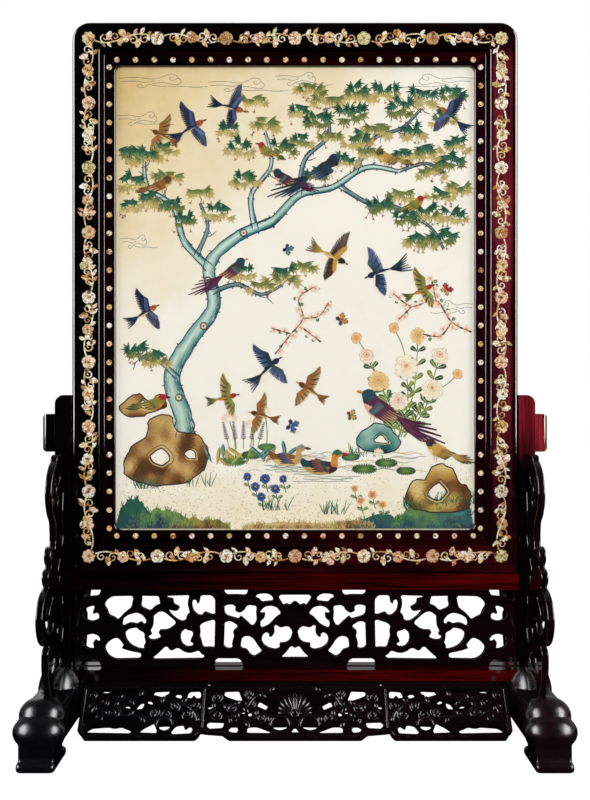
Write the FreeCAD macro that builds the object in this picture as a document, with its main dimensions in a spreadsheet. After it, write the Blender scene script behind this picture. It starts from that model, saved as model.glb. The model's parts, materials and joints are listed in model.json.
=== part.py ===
import FreeCAD, Part
import math
import os
import re

import Sketcher
from FreeCAD import Placement, Rotation, Vector

# Table screen: an inlaid picture panel that lifts up and out of a carved stand.
# X runs across the screen, the front faces -Y, and Z is up from the surface under the feet.

doc = FreeCAD.newDocument("table_screen")
sheet = doc.addObject("Spreadsheet::Sheet", "Sizes")

driving_sizes = [
    ("frame_width", 446.8, "picture panel: width over the frame"),
    ("frame_height", 551.9, "picture panel: height over the frame"),
    ("frame_depth", 28, "picture panel: front to back"),
    ("stile_face", 28, "frame member: width of its front"),
    ("crown_round", 18, "frame: radius of the two top corners"),
    ("toe_round", 3, "frame: radius of the two bottom corners"),
    ("arris_round", 3.5, "frame: radius of the outer arrises"),
    ("lip_depth", 4.5, "frame: depth of the lip in front of the slip"),
    ("rebate_width", 6, "frame: how far the rebate goes under the front"),
    ("quirk_width", 3.4, "shadow gap between frame and slip"),
    ("slip_face", 11.6, "slip: width of its front"),
    ("slip_setback", 2.5, "slip: how far its front lies behind the frame's"),
    ("slip_tongue", 3, "slip: thickness behind the lip"),
    ("slip_round", 1.2, "slip: radius of its front arrises"),
    ("sight_round", 6, "sight opening: corner radius"),
    ("silk_thickness", 0.6, "embroidered silk"),
    ("mount_thickness", 4, "board that the silk is stretched on"),
    ("backing_thickness", 5, "back board"),
    ("bead_width", 9, "back bead: width of the strip"),
    ("board_gap", 0.5, "play of slips and boards in the rebate"),
    ("tenon_thickness", 8, "frame tenon: front to back"),
    ("tenon_margin", 7, "frame tenon: wood left outside it"),
    ("tenon_width", 13, "frame tenon: across the rail"),
    ("corner_peg", 4, "corner peg: diameter"),
    ("corner_peg_length", 23, "corner peg: length"),
    ("pin_diameter", 1.4, "bead pin: diameter"),
    ("pin_length", 14, "bead pin: length"),
    ("pin_pitch", 120, "bead pins: spacing"),
    ("dot_diameter", 5.8, "pearl dot: diameter"),
    ("dot_pitch", 18.4, "pearl dots: spacing"),
    ("dot_corner_gap", 7.5, "pearl dots: first dot from the corner of the rows"),
    ("blossom_diameter", 13, "pearl blossom: diameter over the petals"),
    ("blossom_pitch", 66, "pearl blossoms: spacing"),
    ("blossom_inset", 17, "pearl blossoms: line from the frame's edge"),
    ("pearl_thickness", 1.4, "pearl: thickness"),
    ("pearl_proud", 0.2, "pearl: how far it stands above the wood"),
    ("pearl_gap", 0.15, "pearl: glue line round it"),
    ("runner_width", 9, "stile's tongue: front to back"),
    ("runner_depth", 5, "stile's tongue: how far it enters the post"),
    ("runner_shoulder", 8, "stile's tongue: its end below the post's top"),
    ("slide_gap", 0.4, "play of the panel between the posts"),
    ("post_width", 16.5, "post: width from the front"),
    ("post_depth", 28, "post: front to back"),
    ("post_height", 343, "post: top above the surface"),
    ("head_round", 9, "post: radius of the outer top corner"),
    ("post_tenon_width", 9, "post's foot tenon: across"),
    ("post_tenon_depth", 18, "post's foot tenon: front to back"),
    ("ear_width", 14, "ear block: how far it stands out from the post"),
    ("ear_height", 38, "ear block: height"),
    ("ear_depth", 20, "ear block: front to back"),
    ("ear_drop", 19, "ear block: its top below the post's"),
    ("ear_round", 5, "ear block: corner radius"),
    ("lower_rail_level", 57, "lower rail: underside above the surface"),
    ("lower_rail_height", 11, "lower rail: height"),
    ("fretwork_height", 80, "pierced board: height between the rails"),
    ("upper_rail_height", 16.5, "upper rail: height"),
    ("rail_depth", 28, "rails: front to back"),
    ("rail_tenon_length", 9, "rail tenon: length"),
    ("rail_tenon_depth", 14, "rail tenon: front to back"),
    ("rail_tenon_shoulder", 2.5, "rail tenon: step above and below it"),
    ("rail_peg", 3.2, "rail peg: diameter"),
    ("rail_peg_length", 23, "rail peg: length"),
    ("rail_peg_inset", 2.2, "rail peg: its axis from the post's inner face"),
    ("fretwork_thickness", 6, "pierced board: thickness"),
    ("groove_depth", 4, "pierced board: how deep its edges sit in rails and posts"),
    ("spandrel_thickness", 6.8, "standing spandrel: thickness"),
    ("spandrel_reach", 86, "standing spandrel: how far it stands out from the post"),
    ("spandrel_drop", 58, "standing spandrel: its top below the post's"),
    ("spandrel_tenon", 5, "standing spandrel: length of its tenons"),
    ("spandrel_tenon_width", 4, "standing spandrel: thickness of its tenons"),
    ("foot_length", 206, "foot: front to back"),
    ("pad_length", 48, "foot pad: front to back"),
    ("pad_width", 36, "foot pad: across"),
    ("pad_height", 9.5, "foot pad: height"),
    ("pad_round", 4, "foot pad: radius of its edges"),
    ("neck_length", 33, "foot neck: front to back"),
    ("neck_width", 33, "foot neck: across"),
    ("neck_inset", 5, "foot neck: behind the end of the pad"),
    ("scroll_width", 49, "foot scroll: across"),
    ("scroll_radius", 17, "foot scroll: radius from the side"),
    ("scroll_level", 33, "foot scroll: centre above the surface"),
    ("cap_width", 43, "foot cap: across"),
    ("cap_radius", 17, "foot cap: radius from the side"),
    ("cap_level", 45, "foot cap: centre above the surface"),
    ("cap_inset", 27, "foot cap: centre behind the end of the foot"),
    ("hump_width", 48, "foot hump round the post: across"),
    ("hump_radius", 34, "foot hump: radius from the side"),
    ("hump_level", 44, "foot hump: centre above the surface"),
    ("foot_shift", 3.2, "foot: its middle outside the post's"),
    ("bridge_width", 36, "foot bridge: across"),
    ("bridge_level", 17, "foot bridge: underside above the surface"),
    ("bridge_height", 35, "foot bridge: height"),
    ("apron_thickness", 7, "apron: thickness"),
    ("apron_slope", 58, "apron: length down its slope"),
    ("apron_lean", 38, "apron: degrees that it leans out from upright"),
    ("apron_setout", 12, "apron: top of its front from the middle of the rail"),
    ("apron_gap", 0.4, "apron: play between the feet"),
]
for row, (alias, value, note) in enumerate(driving_sizes, start=1):
    sheet.set(f"A{row}", note)
    sheet.set(f"B{row}", str(value))
    sheet.setAlias(f"B{row}", alias)
doc.recompute()

aliases = {alias for alias, value, note in driving_sizes}


def size(alias):
    return float(sheet.get(alias))


# Heights and lines that several pieces share, as formulas of the driving sizes
half_frame = "(frame_width / 2)"
post_inner = "(frame_width / 2 + slide_gap)"
foot_line = "(frame_width / 2 + slide_gap + post_width / 2)"
fretwork_level = "(lower_rail_level + lower_rail_height)"
upper_rail_level = f"({fretwork_level} + fretwork_height)"
seat_level = f"({upper_rail_level} + upper_rail_height)"
panel_top = f"({seat_level} + frame_height)"
sight_inset = "(stile_face + quirk_width + slip_face)"
boards_front = "(lip_depth + slip_tongue - frame_depth / 2)"
bead_front = f"({boards_front} + silk_thickness + mount_thickness + backing_thickness)"
rebate_inset = "(stile_face - rebate_width)"

# The same lines as numbers, for the carved outlines
post_inner_x = size("frame_width") / 2 + size("slide_gap")
foot_line_x = post_inner_x + size("post_width") / 2
fretwork_z = size("lower_rail_level") + size("lower_rail_height")
seat_z = fretwork_z + size("fretwork_height") + size("upper_rail_height")
panel_top_z = seat_z + size("frame_height")
frame_front_y = -size("frame_depth") / 2


def formula(text):
    # Writes each size's name as a reference to its cell.
    def reference(match):
        word = match.group(0)
        return "Sizes." + word if word in aliases else word
    return re.sub(r"[a-z_]+", reference, text)


def bind(item, **formulas):
    for name, text in formulas.items():
        item.setExpression(name, formula(text))
    return item


def place(item, x="0", y="0", z="0"):
    for axis, text in (("x", x), ("y", y), ("z", z)):
        item.setExpression("Placement.Base." + axis, formula(text))
    return item


def block(name, x_low, x_high, y_low, y_high, z_low, z_high):
    item = doc.addObject("Part::Box", name)
    bind(item, Length=f"({x_high}) - ({x_low})", Width=f"({y_high}) - ({y_low})",
         Height=f"({z_high}) - ({z_low})")
    return place(item, x_low, y_low, z_low)


def centred_block(name, width, depth_low, depth_high, z_low, z_high):
    return block(name, f"-({width}) / 2", f"({width}) / 2", depth_low, depth_high, z_low, z_high)


def rod(name, diameter, length, direction, x, y, z):
    item = doc.addObject("Part::Cylinder", name)
    item.Placement = Placement(Vector(), Rotation(Vector(0, 0, 1), direction))
    bind(item, Radius=f"{diameter} / 2", Height=length)
    return place(item, x, y, z)


def fuse(name, *pieces):
    item = doc.addObject("Part::MultiFuse", name)
    item.Shapes = list(pieces)
    item.Refine = True
    return item


def cut(name, base, *tools):
    item = doc.addObject("Part::Cut", name)
    item.Base = base
    item.Tool = tools[0] if len(tools) == 1 else fuse(name + "_tools", *tools)
    item.Refine = True
    return item


def common(name, first, second):
    item = doc.addObject("Part::Common", name)
    item.Base = first
    item.Tool = second
    item.Refine = True
    return item


def group(name, pieces):
    item = doc.addObject("Part::Compound", name)
    item.Links = list(pieces)
    return item


def rounded(name, base, radius, chosen):
    # Rounds the edges that the test picks.
    doc.recompute()
    item = doc.addObject("Part::Fillet", name)
    item.Base = base
    item.Edges = [(number, radius, radius)
                  for number, edge in enumerate(base.Shape.Edges, start=1) if chosen(edge)]
    return item


def carved(name, shape):
    item = doc.addObject("Part::Feature", name)
    item.Shape = shape
    return item


def spans(edge, axis):
    # True for a straight edge along one axis.
    if edge.Curve.TypeId != "Part::GeomLine":
        return False
    return abs(abs(edge.Curve.Direction.dot(axis)) - 1) < 1e-6


def lies_at(edge, axis, level):
    return all(abs(vertex.Point.dot(axis) - level) < 1e-4 for vertex in edge.Vertexes)


along_x = Vector(1, 0, 0)
along_y = Vector(0, 1, 0)
along_z = Vector(0, 0, 1)


def smooth_wire(points, share=0.42, square=()):
    # A closed outline whose corners are arcs as large as their two sides allow, but for the square ones.
    edges = []
    joints = []
    count = len(points)
    for index, corner in enumerate(points):
        if index in square:
            joints.append((corner, corner))
            continue
        before = points[index - 1] - corner
        after = points[(index + 1) % count] - corner
        cut_back = share * min(before.Length, after.Length)
        before.normalize()
        after.normalize()
        half_angle = before.getAngle(after) / 2
        start = corner + before * cut_back
        end = corner + after * cut_back
        bisector = before + after
        if bisector.Length > 0.05:
            bisector.normalize()
            radius = cut_back * math.tan(half_angle)
            middle = corner + bisector * (radius / math.sin(half_angle) - radius)
            edges.append(Part.Arc(start, middle, end).toShape())
        else:
            edges.append(Part.LineSegment(start, end).toShape())
        joints.append((start, end))
    for index in range(count):
        end = joints[index][1]
        start = joints[(index + 1) % count][0]
        edges.append(Part.LineSegment(end, start).toShape())
    return Part.Wire(Part.__sortEdges__(edges))


def plate(outline, thickness):
    return Part.Face(outline).extrude(thickness)


parts = []


def keep(item, label):
    # Names a finished piece after its node and puts it on the list.
    item.Label = label
    parts.append(item)
    return item


# Picture panel: the rings that the mitred frame, slips and back beads are cut from

panel_block = centred_block("panel_block", "frame_width", "-frame_depth / 2", "frame_depth / 2",
                            seat_level, panel_top)
crowned_block = rounded(
    "crowned_block", panel_block, size("crown_round"),
    lambda edge: spans(edge, along_y) and lies_at(edge, along_z, panel_top_z))
toed_block = rounded(
    "toed_block", crowned_block, size("toe_round"),
    lambda edge: spans(edge, along_y) and lies_at(edge, along_z, seat_z))
frame_block = rounded(
    "frame_block", toed_block, size("arris_round"),
    lambda edge: lies_at(edge, along_y, frame_front_y) or lies_at(edge, along_y, -frame_front_y))


def inner_block(name, inset, depth_low, depth_high):
    return centred_block(name, f"frame_width - 2 * ({inset})", depth_low, depth_high,
                         f"{seat_level} + ({inset})", f"{panel_top} - ({inset})")


lip_opening = inner_block("lip_opening", "stile_face", "-frame_depth", "frame_depth")
rebate_space = inner_block("rebate_space", rebate_inset, "lip_depth - frame_depth / 2", "frame_depth")
frame_ring = cut("frame_ring", frame_block, lip_opening, rebate_space)

slip_front_block = inner_block("slip_front_block", "stile_face + quirk_width",
                               "slip_setback - frame_depth / 2", boards_front)
slip_tongue_block = inner_block("slip_tongue_block", f"{rebate_inset} + board_gap",
                                "lip_depth - frame_depth / 2", boards_front)
sight_block = inner_block("sight_block", sight_inset, "-frame_depth", "frame_depth")
sight_opening = rounded("sight_opening", sight_block, size("sight_round"),
                        lambda edge: spans(edge, along_y))
slip_blank = cut("slip_blank", fuse("slip_block", slip_front_block, slip_tongue_block), sight_opening)
slip_ring = rounded(
    "slip_ring", slip_blank, size("slip_round"),
    lambda edge: lies_at(edge, along_y, frame_front_y + size("slip_setback")))

bead_block = inner_block("bead_block", rebate_inset, bead_front, "frame_depth / 2")
bead_opening = inner_block("bead_opening", f"{rebate_inset} + bead_width", "-frame_depth", "frame_depth")
bead_ring = cut("bead_ring", bead_block, bead_opening)

# Mitre wedges: each holds one side of the panel, with ends at 45 degrees from the outer corners
mitre_reach = f"({sight_inset} + 2 * sight_round)"
sides = {
    "top": ("frame_width", Vector(1, 0, 0), Vector(0, 0, -1), "0", panel_top),
    "bottom": ("frame_width", Vector(-1, 0, 0), Vector(0, 0, 1), "0", seat_level),
    "left": ("frame_height", Vector(0, 0, 1), Vector(1, 0, 0), f"-{half_frame}",
             f"{seat_level} + frame_height / 2"),
    "right": ("frame_height", Vector(0, 0, -1), Vector(-1, 0, 0), half_frame,
              f"{seat_level} + frame_height / 2"),
}
mitres = {}
for side, (length, along, inward, x, z) in sides.items():
    wedge = doc.addObject("Part::Wedge", "mitre_" + side)
    wedge.Placement = Placement(Vector(), Rotation(along, inward, along.cross(inward), "XYZ"))
    bind(wedge, Xmin=f"-{length} / 2", Xmax=f"{length} / 2", Ymin="0", Ymax=mitre_reach,
         Zmin="-frame_depth", Zmax="frame_depth", Z2min="-frame_depth", Z2max="frame_depth",
         X2min=f"{mitre_reach} - {length} / 2", X2max=f"{length} / 2 - {mitre_reach}")
    mitres[side] = place(wedge, x, "0", z)

# Pearl: dots along the slips and five-petalled blossoms along the frame


def even_row(length, pitch):
    # Places along a row, as near to the pitch as whole steps allow.
    steps = max(1, round(length / pitch))
    return [index * length / steps for index in range(steps + 1)]


dot_line = size("stile_face") + size("quirk_width") + size("slip_face") / 2
dot_x = size("frame_width") / 2 - dot_line
dot_low = seat_z + dot_line
dot_high = panel_top_z - dot_line
dot_gap = size("dot_corner_gap")
dot_centres = []
for step in even_row(2 * (dot_x - dot_gap), size("dot_pitch")):
    dot_centres += [(step - dot_x + dot_gap, dot_low), (step - dot_x + dot_gap, dot_high)]
for step in even_row(dot_high - dot_low - 2 * dot_gap, size("dot_pitch")):
    dot_centres += [(-dot_x, dot_low + dot_gap + step), (dot_x, dot_low + dot_gap + step)]

blossom_x = size("frame_width") / 2 - size("blossom_inset")
blossom_low = seat_z + size("blossom_inset")
blossom_high = panel_top_z - size("blossom_inset")
blossom_centres = []
for step in even_row(2 * blossom_x, size("blossom_pitch")):
    blossom_centres += [(step - blossom_x, blossom_low), (step - blossom_x, blossom_high)]
for step in even_row(blossom_high - blossom_low, size("blossom_pitch"))[1:-1]:
    blossom_centres += [(-blossom_x, blossom_low + step), (blossom_x, blossom_low + step)]


def dot(centre, radius, front, thickness):
    return Part.makeCylinder(radius, thickness, Vector(centre[0], front, centre[1]), along_y)


petals = 5
petal_valley = 0.72


def blossom(centre, radius, front, thickness):
    # Five rounded petals that meet in shallow valleys.
    def ray(turn, reach):
        angle = math.radians(90 + 360 * turn / petals)
        return Vector(centre[0] + reach * math.cos(angle), front, centre[1] + reach * math.sin(angle))

    edges = [Part.Arc(ray(petal - 0.5, radius * petal_valley), ray(petal, radius),
                      ray(petal + 0.5, radius * petal_valley)).toShape() for petal in range(petals)]
    return plate(Part.Wire(edges), Vector(0, thickness, 0))


def pearls(name, maker, centres, radius, wood_front):
    # The pearl pieces and, a glue line wider, the sockets that they lie in.
    front = wood_front - size("pearl_proud")
    thickness = size("pearl_thickness")
    shapes = [maker(centre, radius, front, thickness) for centre in centres]
    sockets = [maker(centre, radius + size("pearl_gap"), front, thickness) for centre in centres]
    return carved(name, Part.makeCompound(shapes)), carved(name + "_sockets", Part.makeCompound(sockets))


slip_front_y = frame_front_y + size("slip_setback")
pearl_dots, dot_sockets = pearls("pearl_dots", dot, dot_centres, size("dot_diameter") / 2, slip_front_y)
pearl_blossoms, blossom_sockets = pearls(
    "pearl_blossoms", blossom, blossom_centres, size("blossom_diameter") / 2, frame_front_y)

# Pins go sideways through each bead into the frame
bead_front_y = (frame_front_y + size("lip_depth") + size("slip_tongue") + size("silk_thickness")
                + size("mount_thickness") + size("backing_thickness"))
pin_y = (bead_front_y - frame_front_y) / 2
bead_inner_x = size("frame_width") / 2 - size("stile_face") + size("rebate_width") - size("bead_width")
bead_half_z = size("frame_height") / 2 - size("stile_face") + size("rebate_width") - size("bead_width")
panel_mid_z = seat_z + size("frame_height") / 2
pin_margin = size("pin_pitch") / 3
pin_starts = []
for step in even_row(2 * (bead_inner_x - pin_margin), size("pin_pitch")):
    pin_starts += [(Vector(step - bead_inner_x + pin_margin, pin_y, panel_mid_z + up * bead_half_z),
                    along_z * up) for up in (-1, 1)]
for step in even_row(2 * (bead_half_z - pin_margin), size("pin_pitch")):
    pin_starts += [(Vector(across * bead_inner_x, pin_y, panel_mid_z + step - bead_half_z + pin_margin),
                    along_x * across) for across in (-1, 1)]
bead_pins = carved("bead_pins", Part.makeCompound(
    [Part.makeCylinder(size("pin_diameter") / 2, size("pin_length"), start, direction)
     for start, direction in pin_starts]))

# Frame: rails tenoned into the stiles, each corner locked by a peg from behind
tenons = {}
corner_pegs = {}
tenon_end = "(tenon_margin + tenon_width)"
for corner, across, up in (("top_left", -1, 1), ("top_right", 1, 1),
                           ("bottom_left", -1, -1), ("bottom_right", 1, -1)):
    edge_x = half_frame if across > 0 else f"-{half_frame}"
    edge_z = panel_top if up > 0 else seat_level
    inward_x = "-" if across > 0 else "+"
    inward_z = "-" if up > 0 else "+"
    x_ends = [f"{edge_x} {inward_x} tenon_margin", f"{edge_x} {inward_x} stile_face"]
    z_ends = [f"{edge_z} {inward_z} tenon_margin", f"{edge_z} {inward_z} {tenon_end}"]
    if across > 0:
        x_ends.reverse()
    if up > 0:
        z_ends.reverse()
    tenons[corner] = block("tenon_" + corner, x_ends[0], x_ends[1], "-tenon_thickness / 2",
                           "tenon_thickness / 2", z_ends[0], z_ends[1])
    corner_pegs[corner] = rod(
        "peg_" + corner, "corner_peg", "corner_peg_length", -along_y,
        f"{edge_x} {inward_x} (tenon_margin + corner_peg)", "frame_depth / 2",
        f"{edge_z} {inward_z} ({tenon_end} - corner_peg)")

for side in ("top", "bottom"):
    ends = [corner for corner in tenons if corner.startswith(side)]
    blank = fuse(f"{side}_rail_blank", common(f"{side}_rail_body", frame_ring, mitres[side]),
                 *[tenons[corner] for corner in ends])
    pegs = [corner_pegs[corner] for corner in ends]
    keep(cut(f"{side}_rail_cut", blank, blossom_sockets, bead_pins, *pegs), f"frame_{side}_rail")

runner_top = "(post_height - runner_shoulder)"
for side, sign in (("left", "-"), ("right", "")):
    ends = [corner for corner in tenons if corner.endswith(side)]
    edges_x = [f"{sign}{half_frame}", f"{sign}({half_frame} + runner_depth)"]
    if side == "left":
        edges_x.reverse()
    runner = block(f"runner_{side}", edges_x[0], edges_x[1], "-runner_width / 2", "runner_width / 2",
                   f"{seat_level} + toe_round", runner_top)
    blank = fuse(f"{side}_stile_blank", common(f"{side}_stile_body", frame_ring, mitres[side]), runner)
    cutters = [tenons[corner] for corner in ends] + [corner_pegs[corner] for corner in ends]
    keep(cut(f"{side}_stile_cut", blank, blossom_sockets, bead_pins, *cutters), f"frame_stile_{side}")

keep(group("corner_pegs", corner_pegs.values()), "corner_pegs")

for side, mitre in mitres.items():
    keep(cut(f"{side}_slip_cut", common(f"{side}_slip_body", slip_ring, mitre), dot_sockets), f"slip_{side}")
keep(pearl_dots, "pearl_dots")
keep(pearl_blossoms, "pearl_blossoms")

# Silk, the board it is stretched on, the back board, and the beads that hold them in the rebate
board_inset = f"{rebate_inset} + board_gap"
layer_front = boards_front
for label, thickness in (("silk_panel", "silk_thickness"), ("mounting_board", "mount_thickness"),
                         ("back_board", "backing_thickness")):
    layer_back = f"({layer_front} + {thickness})"
    keep(inner_block(label, board_inset, layer_front, layer_back), label)
    layer_front = layer_back

keep(bead_pins, "bead_pins")
for side, mitre in mitres.items():
    keep(cut(f"{side}_bead_cut", common(f"{side}_bead_body", bead_ring, mitre), bead_pins),
         f"back_bead_{side}")

# Stand: two rails between the posts, with a pierced board grooved between them

rail_tenon_x = f"({post_inner} + rail_tenon_length)"
rail_pegs = []
tenon_blocks = {}
rails = {}
for rail, level, height in (("upper_rail", upper_rail_level, "upper_rail_height"),
                            ("lower_rail", "lower_rail_level", "lower_rail_height")):
    beam = centred_block(rail + "_beam", f"2 * {post_inner}", "-rail_depth / 2", "rail_depth / 2",
                         level, f"{level} + {height}")
    tenon_blocks[rail] = centred_block(
        rail + "_tenons", f"2 * {rail_tenon_x}", "-rail_tenon_depth / 2", "rail_tenon_depth / 2",
        f"{level} + rail_tenon_shoulder", f"{level} + {height} - rail_tenon_shoulder")
    rails[rail] = fuse(rail + "_blank", beam, tenon_blocks[rail])
    for side, sign in (("left", "-"), ("right", "")):
        rail_pegs.append(rod(
            f"{rail}_peg_{side}", "rail_peg", "rail_peg_length", -along_y,
            f"{sign}({post_inner} + rail_peg_inset)", "post_depth / 2", f"{level} + {height} / 2"))

board_groove = fuse(
    "board_groove",
    centred_block("groove_between_rails", f"2 * {post_inner}", "-fretwork_thickness / 2",
                  "fretwork_thickness / 2", f"{fretwork_level} - groove_depth",
                  f"{upper_rail_level} + groove_depth"),
    centred_block("groove_between_posts", f"2 * ({post_inner} + groove_depth)", "-fretwork_thickness / 2",
                  "fretwork_thickness / 2", fretwork_level, upper_rail_level))
for rail, blank in rails.items():
    pegs = [peg for peg in rail_pegs if peg.Name.startswith(rail)]
    keep(cut(rail + "_cut", blank, board_groove, *pegs), rail)
keep(group("rail_pegs", rail_pegs), "rail_pegs")

# Openings of the pierced board's left half, drawn from its left end and up from the lower rail
drawn_half = 223.2
drawn_height = 80
fretwork_openings = [
    [(0.8, 80), (28, 80), (25, 71.5), (17, 71), (8.5, 69.3), (1.6, 65)],
    [(21.3, 62), (15.7, 60.8), (10, 57.8), (8, 52.7), (10, 48.2), (17.4, 45.2), (23.6, 47.3), (25.8, 50.5),
     (24.6, 54), (22.3, 54.4), (20.2, 53), (18.8, 54.4), (19.6, 57.2)],
    [(20.5, 17.7), (15.2, 17.6), (10, 20.8), (8, 25.8), (10.7, 31), (18.5, 33.5), (24.1, 31.7), (26.7, 28),
     (25, 24.7), (23, 25.3), (20.8, 26.9), (19.2, 24.4), (19.9, 20.8)],
    [(0.8, 0), (28, 0), (24, 7.3), (11, 7.6), (5, 9), (1.4, 12)],
    [(29.7, 62.3), (34.2, 68.2), (39, 71.2), (58.6, 71.6), (59.8, 69.6), (58.4, 62.3), (56.7, 58.9),
     (50, 53.9), (46.6, 50), (43.8, 46.9), (40.4, 49.7), (34.8, 51.9), (33.4, 57.2)],
    [(67.9, 71.6), (68.5, 66.8), (66.9, 60.3), (76.8, 56), (80.3, 60), (83.1, 61.7), (87.1, 63.1),
     (86.2, 67.9), (85.6, 71.3)],
    [(93.5, 69.6), (94.3, 71.6), (116.8, 72.3), (115, 67.3), (114.8, 62.8), (117, 54.4), (113.7, 52.1),
     (113.1, 47.1), (108.9, 45.4), (105, 46.8), (98.8, 51.6), (95.5, 56.1), (96.6, 57.5), (102.2, 56.1),
     (105.6, 57.2), (106.7, 60), (100.2, 63.4), (100.2, 68.4)],
    [(127.5, 72.2), (138.7, 72.3), (142.4, 68.5), (142.4, 52.7), (139.2, 52.4), (131.4, 55.3), (129.1, 51.3),
     (124.6, 52.2), (120.2, 56.7), (118.8, 63.4), (120.2, 67.3), (122.4, 67.9), (124.1, 66.2), (124.1, 63.4),
     (126.9, 64.8)],
    [(49.4, 40.7), (48.3, 42.6), (49.4, 48.3), (55, 52.5), (63.4, 54.7), (69, 52.5), (73, 47.1), (72.4, 43.8),
     (70.2, 42.1), (67.3, 45.6), (63.4, 42.6), (57.8, 44.1), (53.9, 43.3)],
    [(50.8, 33.7), (55.6, 38.2), (63.4, 39.6), (65.7, 37), (71.3, 34.2), (71, 29.2), (72.7, 24.7),
     (70.2, 21.3), (71.6, 17.7), (66.2, 17.4), (57.8, 20.8), (52.8, 26.4)],
    [(79.8, 50.8), (85.9, 55.6), (89.9, 55.8), (93.2, 53.9), (104.4, 44.3), (96.6, 38.2), (92.7, 36.8),
     (86.5, 36.8), (85.1, 34.8), (88.5, 29.7), (82, 26.7), (76.6, 26.9), (74.6, 29.2), (75.4, 31.4),
     (78.9, 32), (76.4, 35.4), (79.2, 39.3), (80, 46)],
    [(112.9, 38.4), (108.9, 35.4), (107, 29.8), (108.4, 23.6), (112.9, 19.6), (118.5, 19.9), (120.7, 22.2),
     (119.6, 24.4), (117.4, 25), (117.9, 28.1), (120.2, 31.4), (119.9, 35.9), (114.6, 36.8)],
    [(126.6, 40.7), (130.3, 44.4), (140.4, 47.4), (142.4, 46.6), (141.8, 18.5), (137.6, 19.4), (130, 18.8),
     (128.6, 25.3), (126.8, 30.3), (127.5, 34.8)],
    [(30.6, 19.1), (35.4, 25.8), (43.8, 30.3), (50.5, 21.9), (47.4, 18.8), (55.6, 16), (68.5, 13.5),
     (66.5, 7.6), (41, 7.2), (35.4, 10.1), (32, 14.6)],
    [(79.2, 8.4), (85.4, 13.5), (93.5, 21.6), (97.7, 15.2), (105, 19.6), (111.2, 14.9), (117.4, 13.5),
     (126.3, 16.3), (128.6, 12.9), (132.5, 10.7), (129.7, 7.6), (80.3, 7)],
    [(150.9, 80), (175.9, 80), (174.2, 71.6), (166.3, 72.7), (152.6, 72.4)],
    [(151.7, 61.4), (156.2, 62.8), (161, 62.6), (163.5, 60), (162.1, 57), (166.9, 54.2), (171.9, 56.7),
     (175.3, 62.6), (184.6, 61.4), (183.7, 56.1), (184.6, 46.6), (180.3, 39.6), (175.3, 44.9), (168, 51.2),
     (166.3, 48), (160.7, 49.4), (152, 52.2)],
    [(183.2, 69.6), (184.8, 73), (190.4, 74.1), (196.1, 73.8), (200, 71.3), (201.4, 67.9), (200, 66.2),
     (189.3, 65.1), (187.1, 68.5)],
    [(187.9, 55.6), (192.7, 60.6), (198.3, 61.8), (205, 60), (209.8, 53.3), (203.9, 49.9), (197.2, 42.1),
     (189.9, 38.7), (188.3, 40.4), (188.2, 46), (192.7, 49.4), (193.3, 54.4), (188.8, 53.6)],
    [(152, 44.9), (157.9, 46.3), (166.9, 41), (160.1, 35.4), (161.8, 31.4), (159.3, 24.1), (160.4, 18.5),
     (155.1, 17.7), (151.2, 20.2)],
    [(169.4, 28.3), (171.9, 30.6), (177, 31.1), (181.5, 28.1), (186, 20.8), (190.7, 15.4), (182, 9.8),
     (178.1, 11.8), (174.2, 17.4), (168, 18.2)],
    [(189.3, 26.9), (190.7, 32.5), (194.4, 35.1), (197.2, 33.1), (196.6, 30.6), (199.4, 30), (202.8, 34.2),
     (202, 40.4), (203.9, 42.4), (208.4, 39.3), (216.3, 41.5), (221, 35.4), (218.3, 26.9), (214, 23.8),
     (207, 23.3), (208.4, 19.1), (203.9, 16.8), (196.1, 18.5), (191, 22.4)],
    [(142, 0), (143, 8.4), (167.7, 8.4), (171.5, 0)],
]
# Two openings lie across the middle: these are their left halves, closed by the mirrored points.
fretwork_middle_openings = [
    [(204.5, 72.7), (211.8, 61.7), (214.3, 63.7), (217.9, 61.7), (223.2, 66.8)],
    [(207.6, 8.6), (214, 14), (219.3, 21.3), (223.2, 18.4)],
]


def fretwork_point(along, above, side=-1):
    stretch = post_inner_x / drawn_half
    rise = size("fretwork_height") / drawn_height
    return Vector(side * (post_inner_x - along * stretch), 0, fretwork_z + above * rise)


fretwork_cutters = []
for opening in fretwork_openings:
    at_rail = [index for index, (along, above) in enumerate(opening) if above in (0, drawn_height)]
    for side in (-1, 1):
        fretwork_cutters.append(([fretwork_point(along, above, side) for along, above in opening], at_rail))
for opening in fretwork_middle_openings:
    left = [fretwork_point(along, above) for along, above in opening]
    right = [fretwork_point(along, above, 1) for along, above in reversed(opening[:-1])]
    fretwork_cutters.append((left + right, []))
cut_through = Vector(0, 2 * size("fretwork_thickness"), 0)
fretwork_holes = Part.makeCompound(
    [plate(smooth_wire(points, square=at_rail), cut_through).translate(-cut_through / 2)
     for points, at_rail in fretwork_cutters])
keep(cut("pierced_board", board_groove, carved("fretwork_openings", fretwork_holes)), "pierced_board")

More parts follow.
